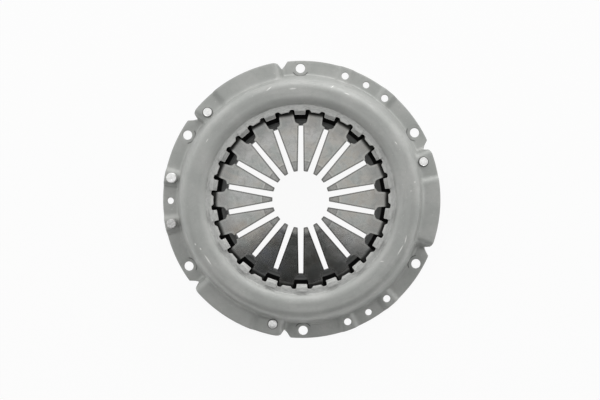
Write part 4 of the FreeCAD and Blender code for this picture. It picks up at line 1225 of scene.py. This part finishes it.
def stage_plane(name, centre, size, height, material):
    """Flat backdrop piece, in millimetres."""
    x, y = centre
    w, d = size[0] / 2, size[1] / 2
    corners = [(x + i * w, y + j * d, height) for i, j in ((-1, -1), (1, -1), (1, 1), (-1, 1))]
    plane = make_object(name, corners, [[0, 1, 2, 3]])
    plane.data.materials.append(material)


def lamp(name, place, size, radiance):
    """Soft rectangular lamp, in millimetres, whose face shines on the origin with a radiance."""
    data = bpy.data.lights.new(name, "AREA")
    data.shape = "RECTANGLE"
    data.size = size[0] * MM
    data.size_y = size[1] * MM
    data.energy = radiance * math.pi * data.size * data.size_y
    obj = link_object(name, data)
    obj.location = Vector(place) * MM
    obj.rotation_euler = (-Vector(place)).to_track_quat("-Z", "Y").to_euler()


def build_world():
    """White light tent, brighter at its sides than overhead."""
    world = bpy.data.worlds.new("studio")
    scene.world = world
    world.use_nodes = True
    tree = world.node_tree
    heading = add(tree, "ShaderNodeTexCoord", output="Generated")
    up = add(tree, "ShaderNodeSeparateXYZ", {0: heading}, "Z")
    strength = up.ramp(0.15, 0.75, 1.75, 0.93)
    feed(tree.nodes["Background"], {"Color": (1.0, 1.0, 1.0, 1.0), "Strength": strength})


def build_camera():
    """Camera of the photograph: straight down, off the axis, with the shift that its crop gives."""
    data = bpy.data.cameras.new("photo_camera")
    data.sensor_width = 36.0
    data.lens = FOCAL_PX * data.sensor_width / FRAME_WIDTH
    data.clip_start = 0.01
    data.clip_end = 50.0
    camera = link_object("photo_camera", data)
    camera.location = Vector(CAMERA_AT) * MM
    turn = Euler((0, 0, math.radians(CAMERA_ROLL)))
    camera.rotation_euler = turn
    seen = turn.to_matrix().transposed() @ (Vector(AXIS_POINT) - Vector(CAMERA_AT))
    right = FOCAL_PX * seen.x / -seen.z
    up = FOCAL_PX * seen.y / -seen.z
    data.shift_x = (right - (AXIS_PX[0] - FRAME_WIDTH / 2)) / FRAME_WIDTH
    data.shift_y = (up - (FRAME_HEIGHT / 2 - AXIS_PX[1])) / FRAME_WIDTH
    scene.camera = camera


# Direction, pitch, phase and depth of each slight wave of the sheet
WAVE_DEPTH = 0.018
WAVES = [
    (chance.uniform(0, math.pi), chance.uniform(25, 70), chance.uniform(0, 2 * math.pi), WAVE_DEPTH)
    for _ in range(6)
]
# Middle, half width in degrees and colour of each temper tint of the spring
TINTS = [
    (-143.0, 9.0, (0.37, 0.325, 0.27)),
    (-120.0, 12.0, (0.28, 0.30, 0.34)),
    (25.0, 40.0, (0.37, 0.35, 0.31)),
]
# Radius, middle and half angle of each crease of the dome, drawn as a fine painted highlight line with a
# painted shade edge
PAINTED_CREASE_LINES = [(116.2, -3.0, 12.0), (117.9, -134.0, 9.0), (122.6, -36.0, 7.0)]
# How far a mark reaches above and below its place, and each scratch on the dome: the pixel of the
# photograph that shows it, its half length, half width and direction
SCRATCH_DEPTH = 6.0
SCRATCHES = [
    ((292.8, 88.6), 4.6, 0.75, 5),
    ((268.8, 88.7), 4.2, 0.6, 40),
    ((236.2, 97.1), 5.2, 0.55, 24),
    ((245.5, 92.5), 5.2, 0.5, 29),
    ((222.4, 106.9), 1.4, 0.9, 30),
    ((207.1, 140.4), 2.8, 0.55, 58),
    ((266.0, 112.4), 0.9, 0.8, 0),
    ((332.5, 86.3), 2.8, 0.6, 35),
    ((346.9, 93.5), 3.2, 0.6, -20),
    ((396.0, 143.0), 2.6, 0.7, -52),
    ((400.4, 249.9), 7.4, 0.75, 59),
    ((405.7, 239.6), 5.2, 0.7, 77),
    ((382.0, 261.4), 2.2, 0.5, 0),
    ((415.0, 182.0), 1.0, 0.8, 0),
    ((411.0, 191.0), 0.9, 0.7, 40),
    ((208.0, 259.9), 8.0, 0.85, -56),
    ((200.5, 248.8), 1.6, 0.9, -60),
    ((195.2, 244.2), 1.8, 0.9, -60),
    ((224.2, 243.7), 1.4, 1.1, -40),
    ((265.7, 112.6), 1.6, 0.9, 10),
    ((419.4, 176.5), 1.3, 0.8, 80),
]
# Half length and half width of a painted shadow dot on the dome, and the pixel that shows each
SHADOW_DOT_SIZE = (1.3, 1.1)
PAINTED_SHADOW_DOTS = [(333.0, 74.8), (372.7, 96.4), (389.9, 110.2)]

cover_steel = cover_material()
spring_steel = spring_material()
cast_iron = cast_material()
bright_plating = rivet_material("bright_plating", (0.95, 0.95, 0.94), (0.80, 0.80, 0.79), 0.30)
dull_plating = rivet_material("dull_plating", (0.66, 0.66, 0.65), (0.48, 0.48, 0.47), 0.36)
strip_steel = strip_material("rolled_strip", 0.05, (0.40, 0.41, 0.41), (0.33, 0.34, 0.34))
wire_steel = strip_material("drawn_wire", 0.02, (0.30, 0.30, 0.30), (0.24, 0.24, 0.24))

build_cover(cover_steel)
build_fingers(spring_steel)
build_straps(strip_steel)
build_pins(bright_plating, dull_plating)
for node, material in (("fulcrum_wire", wire_steel), ("pressure_plate", cast_iron)):
    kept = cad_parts[node]
    kept.data.materials.clear()
    kept.data.materials.append(material)

pale_floor = plain_material("pale_floor", (0.98, 0.98, 0.98), 0.95)
dark_card = plain_material("dark_card", (0.03, 0.03, 0.03), 0.0)
stage_plane("floor", (0, 0), FLOOR_SIZE, cad_low.z / MM - FLOOR_GAP, pale_floor)
stage_plane("dark_card", CARD_AT, CARD_SIZE, CARD_HEIGHT, dark_card)
lamp("back_lamp", LAMP_AT, LAMP_SIZE, LAMP_RADIANCE)
build_world()
build_camera()

scene.view_settings.view_transform = "Standard"
